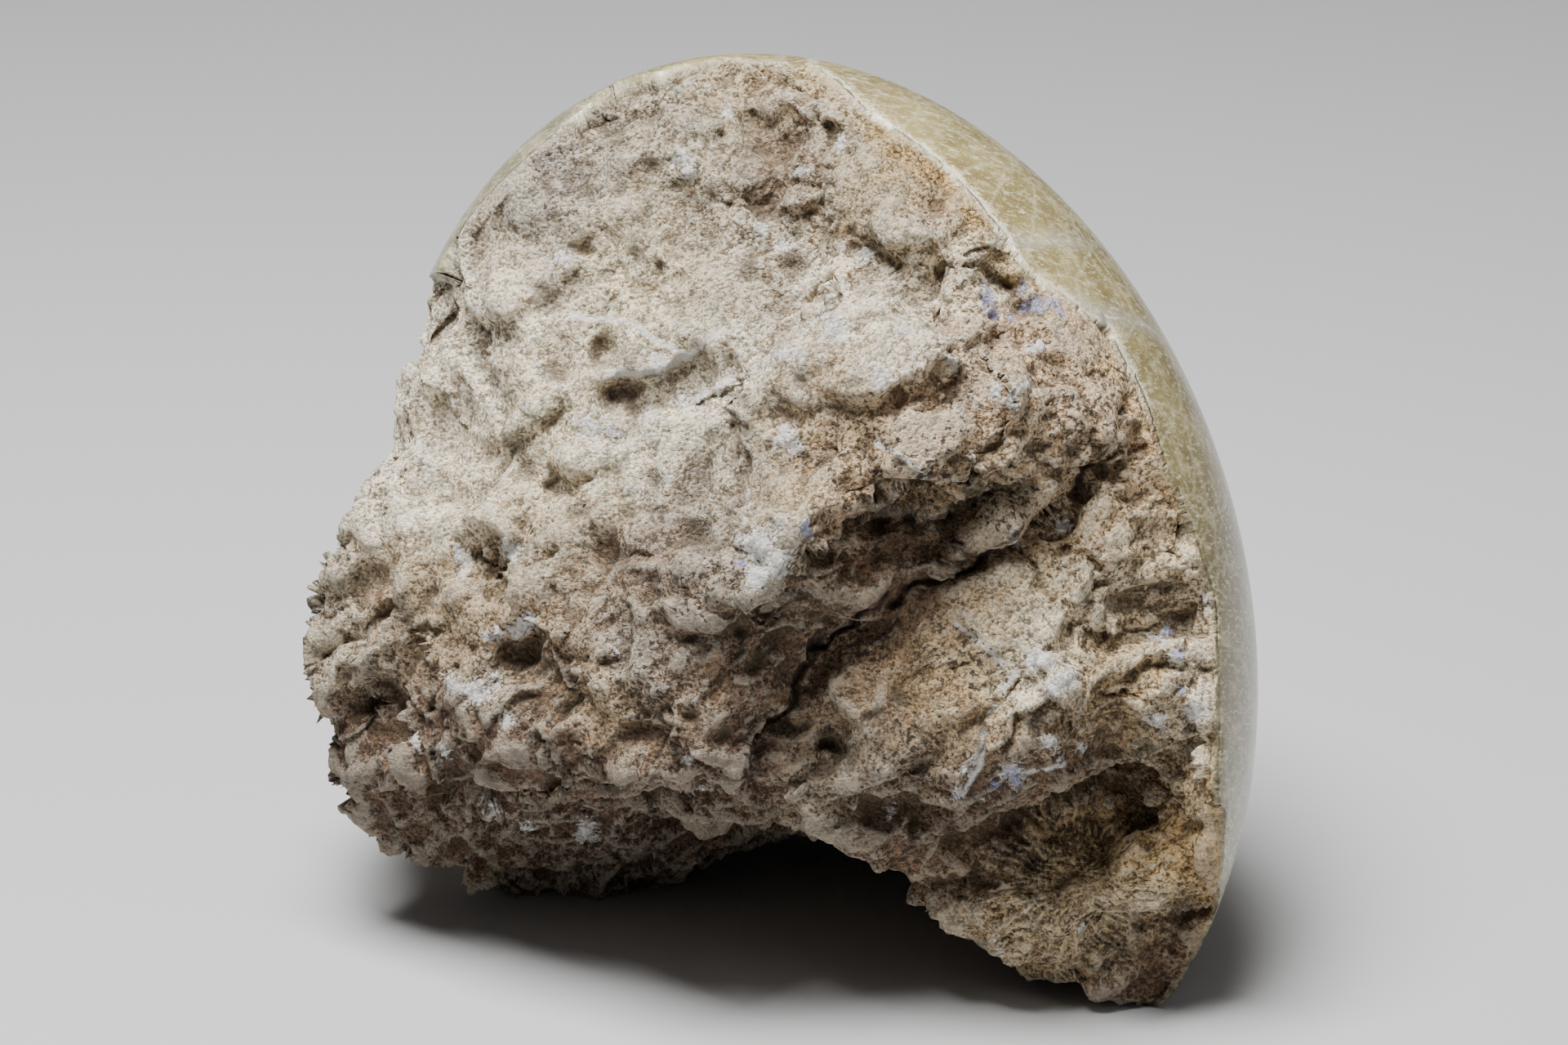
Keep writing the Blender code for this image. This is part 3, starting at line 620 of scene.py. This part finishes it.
# Where those tones lie on the break, (x, y, radius). These are partly the stone's own colour and partly
# painted light and shade: the chalk patches, most of all those on the left, are partly painted light, and
# the umber and brown patches low down and under the knob and the brow are partly painted shade.
toneSpots = {
    "cream": [(-20, 36, 6), (8, 33, 4), (-26, 24, 6), (-16, 30, 5), (-30, 14, 6), (18, -3, 4),
              (27, -31, 4)],
    "chalk": [(-36, 28, 6), (-40, 20, 6), (11, 23, 3), (-2, 27, 5), (6, 28, 4), (-20, 14, 5),
              (-10, 20, 6), (-14, 24, 5), (7.5, 22, 1.5), (-32, 22, 7), (-42, 12, 5), (-26, 30, 5),
              (9, 33, 3), (15, 33, 2.5), (27, 0, 3), (34, -1, 3), (36, -10, 3), (20, -6, 3)],
    "tan": [(5, 40, 4), (3, 20, 4), (12, 12, 4), (-3, 18, 3), (2, 19, 3), (-30, -2, 4),
            (-1.2, 24.1, 1.5), (-5.1, 18.8, 1.6), (2, 13.2, 2.4), (-4.3, 11.2, 2.2), (17, 9, 3),
            (13, 17, 3), (-42, 0, 4), (-18.5, -10, 2.5), (3, -7, 4), (30, 12, 6), (22, -32, 5)],
    "pink": [(14, 24, 4), (24, 20, 6), (4, 14, 5), (9.6, 17.1, 2)],
    "sand": [(-6, 53, 4), (13, 40, 3), (14, 33, 3), (-24, 5, 4), (10.5, 13.5, 2.5), (26, -10, 3),
             (-32, -5, 3), (-23, -10, 2.5), (13, -11, 4), (13, -3, 3), (32, 2, 6), (24, 20, 5),
             (36, -14, 4), (20, -27, 6)],
    "greyTan": [(-12, 50, 7), (-22, 44, 5), (-30, 38, 5), (-12, 38, 5), (2, 45, 4), (9, 37, 4),
                (-8, 30, 3), (-7, 4, 3), (-15, 2, 5), (-26, 4, 3), (-47, -3, 4), (-3, 22.3, 2),
                (-12.4, 10.4, 2), (-14.4, 26.5, 1.6), (-19.2, 20.5, 2), (-8, 14, 3), (-33, -9, 3),
                (4, -16, 5)],
    "grey": [(-27, 42, 3), (-17, -4, 4), (-20, 0, 4), (-15, 5, 3)],
    "brown": [(-5, 44, 2.5), (10, 5, 4), (-13, -9, 5), (-26, 1, 4), (-15, 0, 4), (9, -25, 3),
              (7.5, 9.6, 2.2), (13.5, 12.4, 2), (-16.5, 4.8, 2), (-18, 1.6, 2), (-21, 3, 3),
              (-16, 1, 3), (-40, -12, 5), (-26, -14, 6), (8, -3, 4), (6, -9, 3), (-2, -8, 3),
              (34, -36, 4)],
    "umber": [(-3, -3, 3), (-8, -5, 4), (6, -21, 4), (12, -21, 4), (16, -20, 3), (-12, -15, 4),
              (11.6, 20.3, 1.5), (-14, -1, 3), (-30, -11, 4), (5, -1, 3), (24, -15, 4), (30, -39, 4),
              (-25, -24, 7), (-38, -18, 5), (-32, -18, 5), (-16, -19, 5), (-44, -15, 4)],
    "ochre": [(6, 45, 2), (10, 42, 2), (13.5, 38.5, 2), (25, -25, 3), (10, -7, 3), (28, -6, 5),
              (34, -26, 5)],
}


def paintedTone(xy):
    total = np.full((len(xy), 1), 0.04)
    colour = total * np.array(tones["tan"])
    for name, places in toneSpots.items():
        for x, y, radius in places:
            gap = ((xy - (x, y)) ** 2).sum(axis=1)[:, None]
            weight = np.exp(-gap / (1.3 * radius) ** 2) * (4 / radius)  # small patches show over big ones
            total = total + weight
            colour = colour + weight * np.array(tones[name])
    return colour / total


def nearPath(xy, paths):
    best = np.full(len(xy), 20.0)
    for path in paths:
        best = np.minimum(best, pathGap(xy, path)[0])
    return best


veins = [
    [(-25.7, 28.9), (-22.1, 28.7), (-18.9, 27.4), (-14.1, 24.4)],
    [(-14.1, 24.6), (-10.5, 27.4)],
    [(-22.1, 23.0), (-17.6, 23.2), (-14.1, 24.6)],
    [(-13.7, 20.2), (-9.3, 22.6)],
    [(12.3, -1.4), (14.6, -3.4), (16.7, -5.4)],
    [(17.9, -6.2), (16.8, -8.2), (15.5, -10.2)],
    [(15.3, -11.0), (14.5, -15.8), (12.9, -18.6)],
    [(4.4, 15.8), (6.8, 14.4), (9.2, 12.5)],
    [(-8.1, 12.2), (-8.2, 8.2)],
    [(14.6, -19.6), (19, -16.6), (23, -15.4)],
]
crack = grooves[0][0]


def domeMap(points):
    # the dome laid out flat about the middle of its back, in mm
    ball = moved(toBall, points)
    ball /= np.linalg.norm(ball, axis=1)[:, None]
    angle = np.arccos(np.clip(-ball[:, 2], -1, 1))
    spread = angle / np.maximum(1e-6, np.sin(angle)) * stance["domeHalf"][0]
    return ball[:, 0] * spread, ball[:, 1] * spread


def grown(places, share):
    return [(x, y, radius * share) for x, y, radius in places]


bend = np.column_stack([noiseAt(points, 2.5, shift) for shift in (13, 47)]) * 1.1
wander = np.column_stack([fractalAt(points, 3.0, 3, shift) for shift in (90, 120)]) * 1.6
whiteStain = spots(xy + wander * 0.6, grown(stains["white"], 1.4)) * facing
lavenderStain = spots(xy + wander * 0.4, grown(stains["lavender"], 1.4)) * facing
rustStain = spots(xy + wander, grown(stains["rust"], 1.4)) * facing
paintedShadow = spots(xy + wander * 0.8, grown(stains["shadow"], 1.25)) * facing
veinGap = nearPath(xy + bend * 0.35, veins) + (1 - facing) * 20
crackGap = nearPath(xy + bend, [crack]) + (1 - facing) * 20
rimGap = nearPath(xy, [rim["right"]])
rimGap += 20 * smooth(-4, -14, place[:, 2]) + 1.6 * smooth(24, 8, place[:, 1])
tone = paintedTone(xy + wander * 1.5)
blank = np.array(tones["tan"]) * 0.5 + np.array(tones["brown"]) * 0.5
tone = (tone * facing[:, None] + blank * (1 - facing[:, None])) / 255
tone = linear(tone)


def keep(name, first, second, third):
    field = mesh.attributes.new(name, "FLOAT_VECTOR", "POINT")
    field.data.foreach_set("vector", np.column_stack([first, second, third]).ravel())


keep("hollows", fineHollow, broadHollow, np.maximum(fineCrest, broadCrest))
keep("stains", whiteStain, lavenderStain, rustStain)
keep("lines", veinGap, crackGap, rimGap)
keep("tone", tone[:, 0], tone[:, 1], tone[:, 2])
keep("zones", polish, spots(xy, zones["pores"]) * facing, spots(xy, zones["calm"]) * facing)
# the domeMap attribute also carries the painted shadow patches
keep("domeMap", *domeMap(points), paintedShadow)
print("finish mapped")


class Signal:
    def __init__(self, finish, socket):
        self.finish = finish
        self.socket = socket

    def math(self, operation, *values):
        return self.finish.math(operation, *values)

    def __add__(self, other):
        return self.math("ADD", self, other)

    def __radd__(self, other):
        return self.math("ADD", other, self)

    def __sub__(self, other):
        return self.math("SUBTRACT", self, other)

    def __rsub__(self, other):
        return self.math("SUBTRACT", other, self)

    def __mul__(self, other):
        return self.math("MULTIPLY", self, other)

    def __rmul__(self, other):
        return self.math("MULTIPLY", other, self)


class Finish:
    def __init__(self, name):
        self.material = bpy.data.materials.new(name)
        self.material.use_nodes = True
        self.tree = self.material.node_tree
        self.tree.nodes.clear()

    def add(self, kind, settings=None, inputs=None, output=0):
        node = self.tree.nodes.new(kind)
        for name, value in (settings or {}).items():
            setattr(node, name, value)
        for key, value in (inputs or {}).items():
            if isinstance(value, Signal):
                self.tree.links.new(value.socket, node.inputs[key])
            else:
                node.inputs[key].default_value = value
        return Signal(self, node.outputs[output])

    def math(self, operation, *values):
        return self.add("ShaderNodeMath", {"operation": operation}, dict(enumerate(values)))

    def mix(self, factor, first, second, blend="MIX"):
        settings = {"data_type": "RGBA", "blend_type": blend, "clamp_factor": True}
        return self.add("ShaderNodeMix", settings, {0: factor, 6: first, 7: second}, 2)

    def vector(self, operation, *values, output=0):
        return self.add("ShaderNodeVectorMath", {"operation": operation}, dict(enumerate(values)), output)

    def split(self, value):
        outputs = self.add("ShaderNodeSeparateXYZ", None, {0: value}).socket.node.outputs
        return [Signal(self, socket) for socket in outputs]

    def shake(self, place, size, reach):
        # moves the pattern about, so that its lines wander
        return self.vector("MULTIPLY_ADD", self.noise(place, size, 2, 0.6, "Color"), (reach,) * 3, place)

    def ramp(self, value, stops):
        ramp = self.add("ShaderNodeValToRGB", None, {0: value})
        points = ramp.socket.node.color_ramp.elements
        while len(points) < len(stops):
            points.new(0.5)
        for point, (position, colour) in zip(points, stops):
            point.position = position
            point.color = (*colour, 1)
        return ramp

    def smooth(self, value, low, high):
        settings = {"interpolation_type": "SMOOTHSTEP"}
        return self.add("ShaderNodeMapRange", settings, {0: value, 1: low, 2: high})

    def noise(self, place, size, detail=2.0, roughness=0.5, output=0):
        inputs = {"Vector": place, "Scale": 1 / size, "Detail": detail, "Roughness": roughness}
        return self.add("ShaderNodeTexNoise", None, inputs, output)

    def cells(self, place, size, output="Distance", **settings):
        return self.add("ShaderNodeTexVoronoi", settings, {"Vector": place, "Scale": 1 / size}, output)

    def stretched(self, place, turn, scale):
        inputs = {0: place, "Rotation": (0, 0, math.radians(turn)), "Scale": scale}
        return self.add("ShaderNodeMapping", None, inputs)

    def attribute(self, name):
        return self.add("ShaderNodeAttribute", {"attribute_name": name}, None, "Vector")


def breakPlace(finish):
    # Object coordinates turned into the break's own axes, in mm
    place = finish.add("ShaderNodeTexCoord", None, None, "Object")
    inputs = {
        "Vector": place,
        "Location": tuple(v * mm for v in stance["domeCentre"]),
        "Rotation": (math.pi / 2 - stance["lean"], 0, 0),
        "Scale": (mm, mm, mm),
    }
    return finish.add("ShaderNodeMapping", {"vector_type": "TEXTURE"}, inputs)


# Sizes of the rock's grain, in mm, and its colours on screen
grains = {
    "coarse": 6.0,
    "medium": 1.5,
    "fine": 0.34,
    "patches": 3.4,
    "cells": 0.42,
    "crumbs": 0.95,
    "pores": 0.62,
    "light": (1.10, 1.09, 1.06),  # factors on the tone
    "dull": (0.92, 0.88, 0.83),
    "greyed": (0.72, 0.73, 0.72),
    "ochre": (1.04, 0.95, 0.70),  # just inside the rim
    # paler crests, partly the stone's own colour and partly painted highlight
    "crest": (224, 215, 194),
    "shadow": (104, 94, 78),
    # dirt and painted shade in hollows
    "dirtAndShade": (92, 76, 56),
    "rust": [(112, 76, 50), (186, 142, 108)],  # from dark grains to light ones
    "white": [(196, 190, 182), (248, 247, 244)],
    "lavender": [(112, 118, 156), (184, 191, 232)],
    "rim": [(206, 190, 148), (240, 232, 206)],
    "vein": (238, 236, 230),
    "pore": (52, 38, 28),
}

# How the rock's brightness follows its grain, as factors. All are multiplied by the gain.
speckles = {
    "stops": [(0.38, (0.13, 0.108, 0.078)), (0.46, (0.36, 0.335, 0.285)), (0.53, (0.60, 0.59, 0.56)),
              (0.60, (0.86, 0.86, 0.84)), (0.66, (1.02, 1.04, 1.04))],
    "even": (0.66, 0.655, 0.63),  # mixed in where the rock is calm
    "gain": 1.67,
}

# The cups of coral cut across on the dome
cups = {
    "size": 13.0,  # across one cup
    "walls": 20,  # long walls in a cup, with a short one between each two
    "dark": (132, 118, 74),
    "light": (164, 150, 100),
    "pale": (200, 190, 148),
    "heart": (116, 102, 64),
    "wall": (228, 221, 190),
    "low": (126, 118, 90),  # painted shade towards the lower right
    "left": (138, 136, 116),
    "mottle": (112, 100, 66),
    "rim": (236, 228, 200),
    "halo": (186, 190, 190),  # beside a vein
    "vein": (232, 230, 220),
    "dim": (0.93, 0.92, 0.92),
}

# White calcite veins across the dome: from, to, in the break's axes, and how far they keep to that face
veinsOnDome = [
    ((18.4, 36.0, 22), (27.4, 36.8, 10)),
    ((24.6, 30.2, 21), (27.0, 28.8, 20)),
    ((27.0, 28.8, 20), (33.0, 27.2, 10)),
    ((37.6, -0.8, 17), (42.6, 1.0, 6)),
    ((-6, 52, -8), (22, 30, -33)),
    ((22, 30, -33), (38, -6, -24)),
    ((-38, 10, -14), (-6, -18, -36)),
    ((-6, -18, -36), (18, -34, -24)),
]


def domeVeins(finish, at):
    # distance in mm to the nearest of the veins, which wander a little
    place = finish.shake(at, 4.0, 2.0)
    place = finish.vector("SUBTRACT", place, (1.0, 1.0, 1.0))
    nearest = 50.0
    for start, end in veinsOnDome:
        start, along = Vector(start), Vector(end) - Vector(start)
        offset = finish.vector("SUBTRACT", place, tuple(start))
        share = finish.vector("DOT_PRODUCT", offset, tuple(along / along.length_squared), output="Value")
        share = finish.add("ShaderNodeClamp", None, {0: share})
        foot = finish.vector("SCALE", tuple(along))
        finish.tree.links.new(share.socket, foot.socket.node.inputs["Scale"])
        gap = finish.vector("DISTANCE", offset, foot, output="Value")
        nearest = finish.math("MINIMUM", gap, nearest)
    return nearest


def rockColour(finish, at, sand, grain, medium, fine, pore):
    # the broken rock: the painted tone with its painted light and shade, its speckle, then a painted
    # highlight on crests, painted shadow patches, dirt and painted shade in hollows, stains, veins, rim
    # and pores over it
    fineHollow, broadHollow, crest = finish.split(finish.attribute("hollows"))
    white, lavender, rust = finish.split(finish.attribute("stains"))
    veinGap, crackGap, rimGap = finish.split(finish.attribute("lines"))
    calm = finish.split(finish.attribute("zones"))[2]
    # the painted shadow patches, kept in the domeMap attribute
    shadow = finish.split(finish.attribute("domeMap"))[2]
    coarse = finish.noise(at, grains["coarse"], 4, 0.65)
    patch = finish.noise(at, grains["patches"], 3, 0.6)

    def grainy(pair):
        return finish.mix(grain[0], shade(*pair[0]), shade(*pair[1]))

    rock = finish.mix(finish.smooth(coarse, 0.38, 0.62), (*grains["light"], 1), (*grains["dull"], 1))
    rock = finish.mix(finish.smooth(patch, 0.52, 0.62) * 0.8, rock, (*grains["greyed"], 1))
    # the tone brings in the stone's colour together with painted light and painted shade
    rock = finish.mix(1.0, finish.attribute("tone"), rock, "MULTIPLY")
    speckle = finish.mix(calm * 0.25, finish.ramp(sand, speckles["stops"]), (*speckles["even"], 1))
    rock = finish.vector("MULTIPLY", finish.vector("MULTIPLY", rock, speckle), (speckles["gain"],) * 3)
    tint = finish.mix(finish.smooth(grain[1], 0.72, 0.9), (1, 1, 1, 1), (1.08, 0.92, 0.80, 1))
    tint = finish.mix(finish.smooth(grain[2], 0.8, 0.95), tint, (0.92, 0.97, 1.08, 1))
    rock = finish.mix(0.8, rock, tint, "MULTIPLY")
    # paler on crests: partly the stone's own colour, partly painted highlight
    rock = finish.mix(finish.smooth(crest + sand, 0.8, 1.5) * 0.3, rock, shade(*grains["crest"]))
    # painted shadow over the shadow patches
    shaded = finish.smooth(shadow - 0.6 * sand, -0.05, 0.45)
    rock = finish.mix(shaded * 0.62, rock, shade(*grains["shadow"]))
    # dirt and painted shade: darker where the surface lies below its surroundings
    dirtAndShade = finish.smooth(fineHollow * 0.9 + broadHollow * 0.9 - sand * 0.6, 0.0, 0.9)
    rock = finish.mix(dirtAndShade * (0.6 - 0.25 * calm), rock, shade(*grains["dirtAndShade"]))
    rock = finish.mix(finish.smooth(rust + medium * 1.2, 1.0, 1.5) * 0.4, rock, grainy(grains["rust"]))
    rock = finish.mix(finish.smooth(white + sand * 1.4, 1.0, 1.5) * 0.85, rock, grainy(grains["white"]))
    bluish = finish.smooth(lavender + medium * 1.3, 1.0, 1.4)
    rock = finish.mix(bluish * 0.7, rock, grainy(grains["lavender"]))
    rock = finish.mix(finish.smooth(veinGap + fine * 0.7, 0.74, 0.46) * 0.9, rock, shade(*grains["vein"]))
    ochre = finish.vector("MULTIPLY", rock, grains["ochre"])
    rock = finish.mix(finish.smooth(rimGap + medium * 3, 4.8, 3.0) * 0.6, rock, ochre)
    rimLight = finish.smooth(rimGap + medium * 2.0 + fine * 2.6, 2.9, 2.5)
    rock = finish.mix(rimLight * 0.85, rock, grainy(grains["rim"]))
    rock = finish.mix(pore * 0.85, rock, shade(*grains["pore"]))
    return finish.mix(finish.smooth(crackGap, 0.6, 0.2) * 0.8, rock, shade(*grains["pore"]))


def domeColour(finish, at, medium, fine):
    # cups of coral cut across, each with fine walls that spread from its middle
    flat = finish.attribute("domeMap")
    flat = finish.vector("MULTIPLY_ADD", finish.noise(at, 5.0, 2, 0.6, "Color"), (3.0,) * 3, flat)
    cup = finish.cells(flat, cups["size"], "Position", voronoi_dimensions="2D")
    cupEdge = finish.cells(flat, cups["size"], voronoi_dimensions="2D", feature="DISTANCE_TO_EDGE")
    spoke = finish.vector("SUBTRACT", flat, cup)
    x, y = finish.split(spoke)[:2]
    reach = finish.vector("LENGTH", spoke, output="Value")
    turn = finish.math("ARCTAN2", y, x)
    wobble = finish.noise(at, 2.2, 3, 0.6) * 2.6
    longWalls = finish.smooth(finish.math("COSINE", turn * cups["walls"] + wobble), 0.35, 0.95)
    shortWalls = finish.math("COSINE", turn * (2 * cups["walls"]) + wobble * 2)
    shortWalls = finish.smooth(shortWalls, 0.35, 0.95) * finish.smooth(reach, 2.4, 4.2)
    walls = finish.math("MAXIMUM", longWalls, shortWalls * 0.8) * finish.smooth(reach, 0.5, 1.6)
    walls = walls * (0.35 + 0.65 * finish.smooth(finish.noise(at, 3.0, 2, 0.5), 0.35, 0.6))
    across, along, out = finish.split(at)
    walls = walls * (0.3 + 0.7 * finish.smooth(out, 16.0, -6.0))

    # near the rim the cups are cut so flat that their walls are short threads and flecks
    back = finish.smooth(out, 6.0, -10.0)
    cloud = finish.noise(at, 7.0, 5, 0.62)
    haze = finish.noise(at, 2.4, 4, 0.65)
    thread = finish.noise(finish.stretched(at, 38, (0.35, 2.2, 0.9)), 0.9, 3, 0.65)
    fleck = finish.noise(finish.stretched(at, -35, (0.4, 1.6, 0.8)), 0.7, 3, 0.7)
    broken = finish.math("MAXIMUM", finish.smooth(fleck + haze, 0.8, 1.15), back)

    def over(share, name):
        return finish.mix(share, dome, shade(*cups[name]))

    dome = finish.mix(finish.smooth(cloud, 0.38, 0.62), shade(*cups["dark"]), shade(*cups["light"]))
    # painted shade: the dome darker towards its lower right
    dome = over(finish.smooth(along, 34.0, -8.0) * finish.smooth(across, 4.0, 30.0), "low")
    dome = over(finish.smooth(across, -12.0, -28.0) * 0.8, "left")
    dome = over(finish.smooth(reach, 2.6, 0.4) * 0.45, "heart")
    dome = over(finish.smooth(haze, 0.5, 0.64) * 0.5, "pale")
    dome = over(finish.smooth(fleck, 0.53, 0.62) * (0.5 - 0.35 * back), "pale")
    dome = over(walls * broken * 0.7, "wall")
    dome = over(finish.smooth(thread, 0.55, 0.64) * (0.6 - 0.45 * back), "wall")
    dome = over(finish.smooth(medium * 0.5 + fine * 0.5, 0.5, 0.4) * 0.35, "mottle")
    dome = over(finish.smooth(cupEdge + haze * 0.06, 0.075, 0.03) * 0.25, "wall")
    rimGap = finish.split(finish.attribute("lines"))[2]
    dome = over(finish.smooth(rimGap + medium * 2.0 + fine * 2.6, 3.1, 2.5) * 0.85, "rim")
    veinGap = finish.math("ABSOLUTE", domeVeins(finish, at))
    dome = over(finish.smooth(veinGap + haze * 3.0, 3.6, 1.6) * 0.3, "halo")
    dome = over(finish.smooth(veinGap + fine * 0.5 + haze * 0.6, 0.85, 0.5) * 0.85, "vein")
    return finish.vector("MULTIPLY", dome, cups["dim"])


def fanHairs(finish, at):
    # hair-like walls that spread from the middle of each coral cup on the break
    hairs = 0.5
    for centre, radius, ribs, rise in fans.values():
        offset = finish.vector("SUBTRACT", finish.shake(at, 1.5, 0.35), (*centre, 0))
        x, y = finish.split(offset)[:2]
        reach = finish.vector("LENGTH", finish.vector("MULTIPLY", offset, (1, 1, 0)), output="Value")
        turn = finish.math("ARCTAN2", y, x) * (ribs / math.tau)
        polar = finish.add("ShaderNodeCombineXYZ", None, {0: turn, 1: reach * 0.12})
        line = finish.noise(polar, 1.0, 2, 0.6)
        share = finish.smooth(reach, radius, radius * 0.6) * finish.smooth(reach, 0.4, 1.8)
        hairs = hairs + (line - 0.5) * share
    return hairs - 0.5


def stoneFinish():
    finish = Finish("fossil coral stone")
    at = breakPlace(finish)
    polish, porous = finish.split(finish.attribute("zones"))[:2]
    medium = finish.noise(at, grains["medium"], 6, 0.76)
    fine = finish.noise(at, grains["fine"], 3, 0.75)
    shaken = finish.shake(at, 0.6, 0.45)
    grain = finish.split(finish.cells(shaken, grains["cells"], "Color"))
    grainGap = finish.cells(shaken, grains["cells"])
    crumb = finish.split(finish.cells(finish.shake(at, 1.1, 0.8), grains["crumbs"], "Color"))
    combed = fanHairs(finish, at)
    poreLevel = 0.24 + 0.17 * porous
    pore = finish.smooth(finish.noise(at, grains["pores"], 2, 0.55), poreLevel + 0.05, poreLevel - 0.01)
    sand = 0.34 * medium + 0.24 * grain[0] + 0.1 * crumb[0]
    sand = sand + 0.24 * finish.smooth(fine, 0.36, 0.64) + 0.08 + combed * 0.5

    rock = rockColour(finish, at, sand, grain, medium, fine, pore)
    colour = finish.mix(polish, rock, domeColour(finish, at, medium, fine))
    height = 0.6 * medium + 0.5 * fine + 0.16 * grain[0] - 0.26 * grainGap
    height = height - 0.2 * pore + 0.25 * combed + 0.18 * crumb[0]
    bump = {"Strength": 1.0, "Distance": mm, "Height": height * (1 - polish)}
    inputs = {
        "Base Color": colour,
        "Roughness": 0.85 - 0.58 * polish,
        "Normal": finish.add("ShaderNodeBump", None, bump),
        "Coat Weight": polish * 0.3,
    }
    return finish, finish.add("ShaderNodeBsdfPrincipled", None, inputs)


def output(finish, shader):
    node = finish.tree.nodes.new("ShaderNodeOutputMaterial")
    finish.tree.links.new(shader.socket, node.inputs[0])


finish, shader = stoneFinish()
output(finish, shader)
mesh.materials.clear()
mesh.materials.append(finish.material)
print("materials made")


# Floor, light and camera

studio = {
    "aim": (-4.5, 8.2, 600),  # where the camera stands, in the break's axes
    "lens": 135,
    "key": ((-0.10, -0.10, 0.6), 0.3, 10.3),  # place in metres, size, power
    "fill": ((0.5, -0.3, 0.3), 0.4, 0.5),
    "litPoint": (0, 0, 0.04),
    "sky": (0.8, 0.85, 1.0, 1),
    "skyStrength": 0.06,
    "floorSize": 2.0,
    "floor": (0.5, 0.5, 0.5, 1),
}


def lamp(name, spot, size, power):
    light = bpy.data.lights.new(name, "AREA")
    light.size = size
    light.energy = power
    item = bpy.data.objects.new(name, light)
    bpy.context.scene.collection.objects.link(item)
    item.location = spot
    aim = Vector(studio["litPoint"]) - Vector(spot)
    item.rotation_euler = aim.to_track_quat("-Z", "Y").to_euler()


def camera():
    lens = bpy.data.cameras.new("camera")
    lens.lens = studio["lens"]
    lens.sensor_width = 36
    lens.clip_start = 0.01
    item = bpy.data.objects.new("camera", lens)
    bpy.context.scene.collection.objects.link(item)
    item.location = (standing() @ Vector(studio["aim"])) * mm
    item.rotation_euler = (math.pi / 2 - stance["lean"], 0, 0)
    bpy.context.scene.camera = item


def floor():
    bm = bmesh.new()
    bmesh.ops.create_grid(bm, x_segments=1, y_segments=1, size=studio["floorSize"])
    ground = bpy.data.meshes.new("floor")
    bm.to_mesh(ground)
    bm.free()
    item = bpy.data.objects.new("floor", ground)
    bpy.context.scene.collection.objects.link(item)
    paper = Finish("pale paper")
    inputs = {"Base Color": studio["floor"], "Roughness": 0.9}
    output(paper, paper.add("ShaderNodeBsdfPrincipled", None, inputs))
    ground.materials.append(paper.material)


camera()
floor()
lamp("key", *studio["key"])
lamp("fill", *studio["fill"])
world = bpy.data.worlds.new("studio")
bpy.context.scene.world = world
world.use_nodes = True
world.node_tree.nodes["Background"].inputs[0].default_value = studio["sky"]
world.node_tree.nodes["Background"].inputs[1].default_value = studio["skyStrength"]
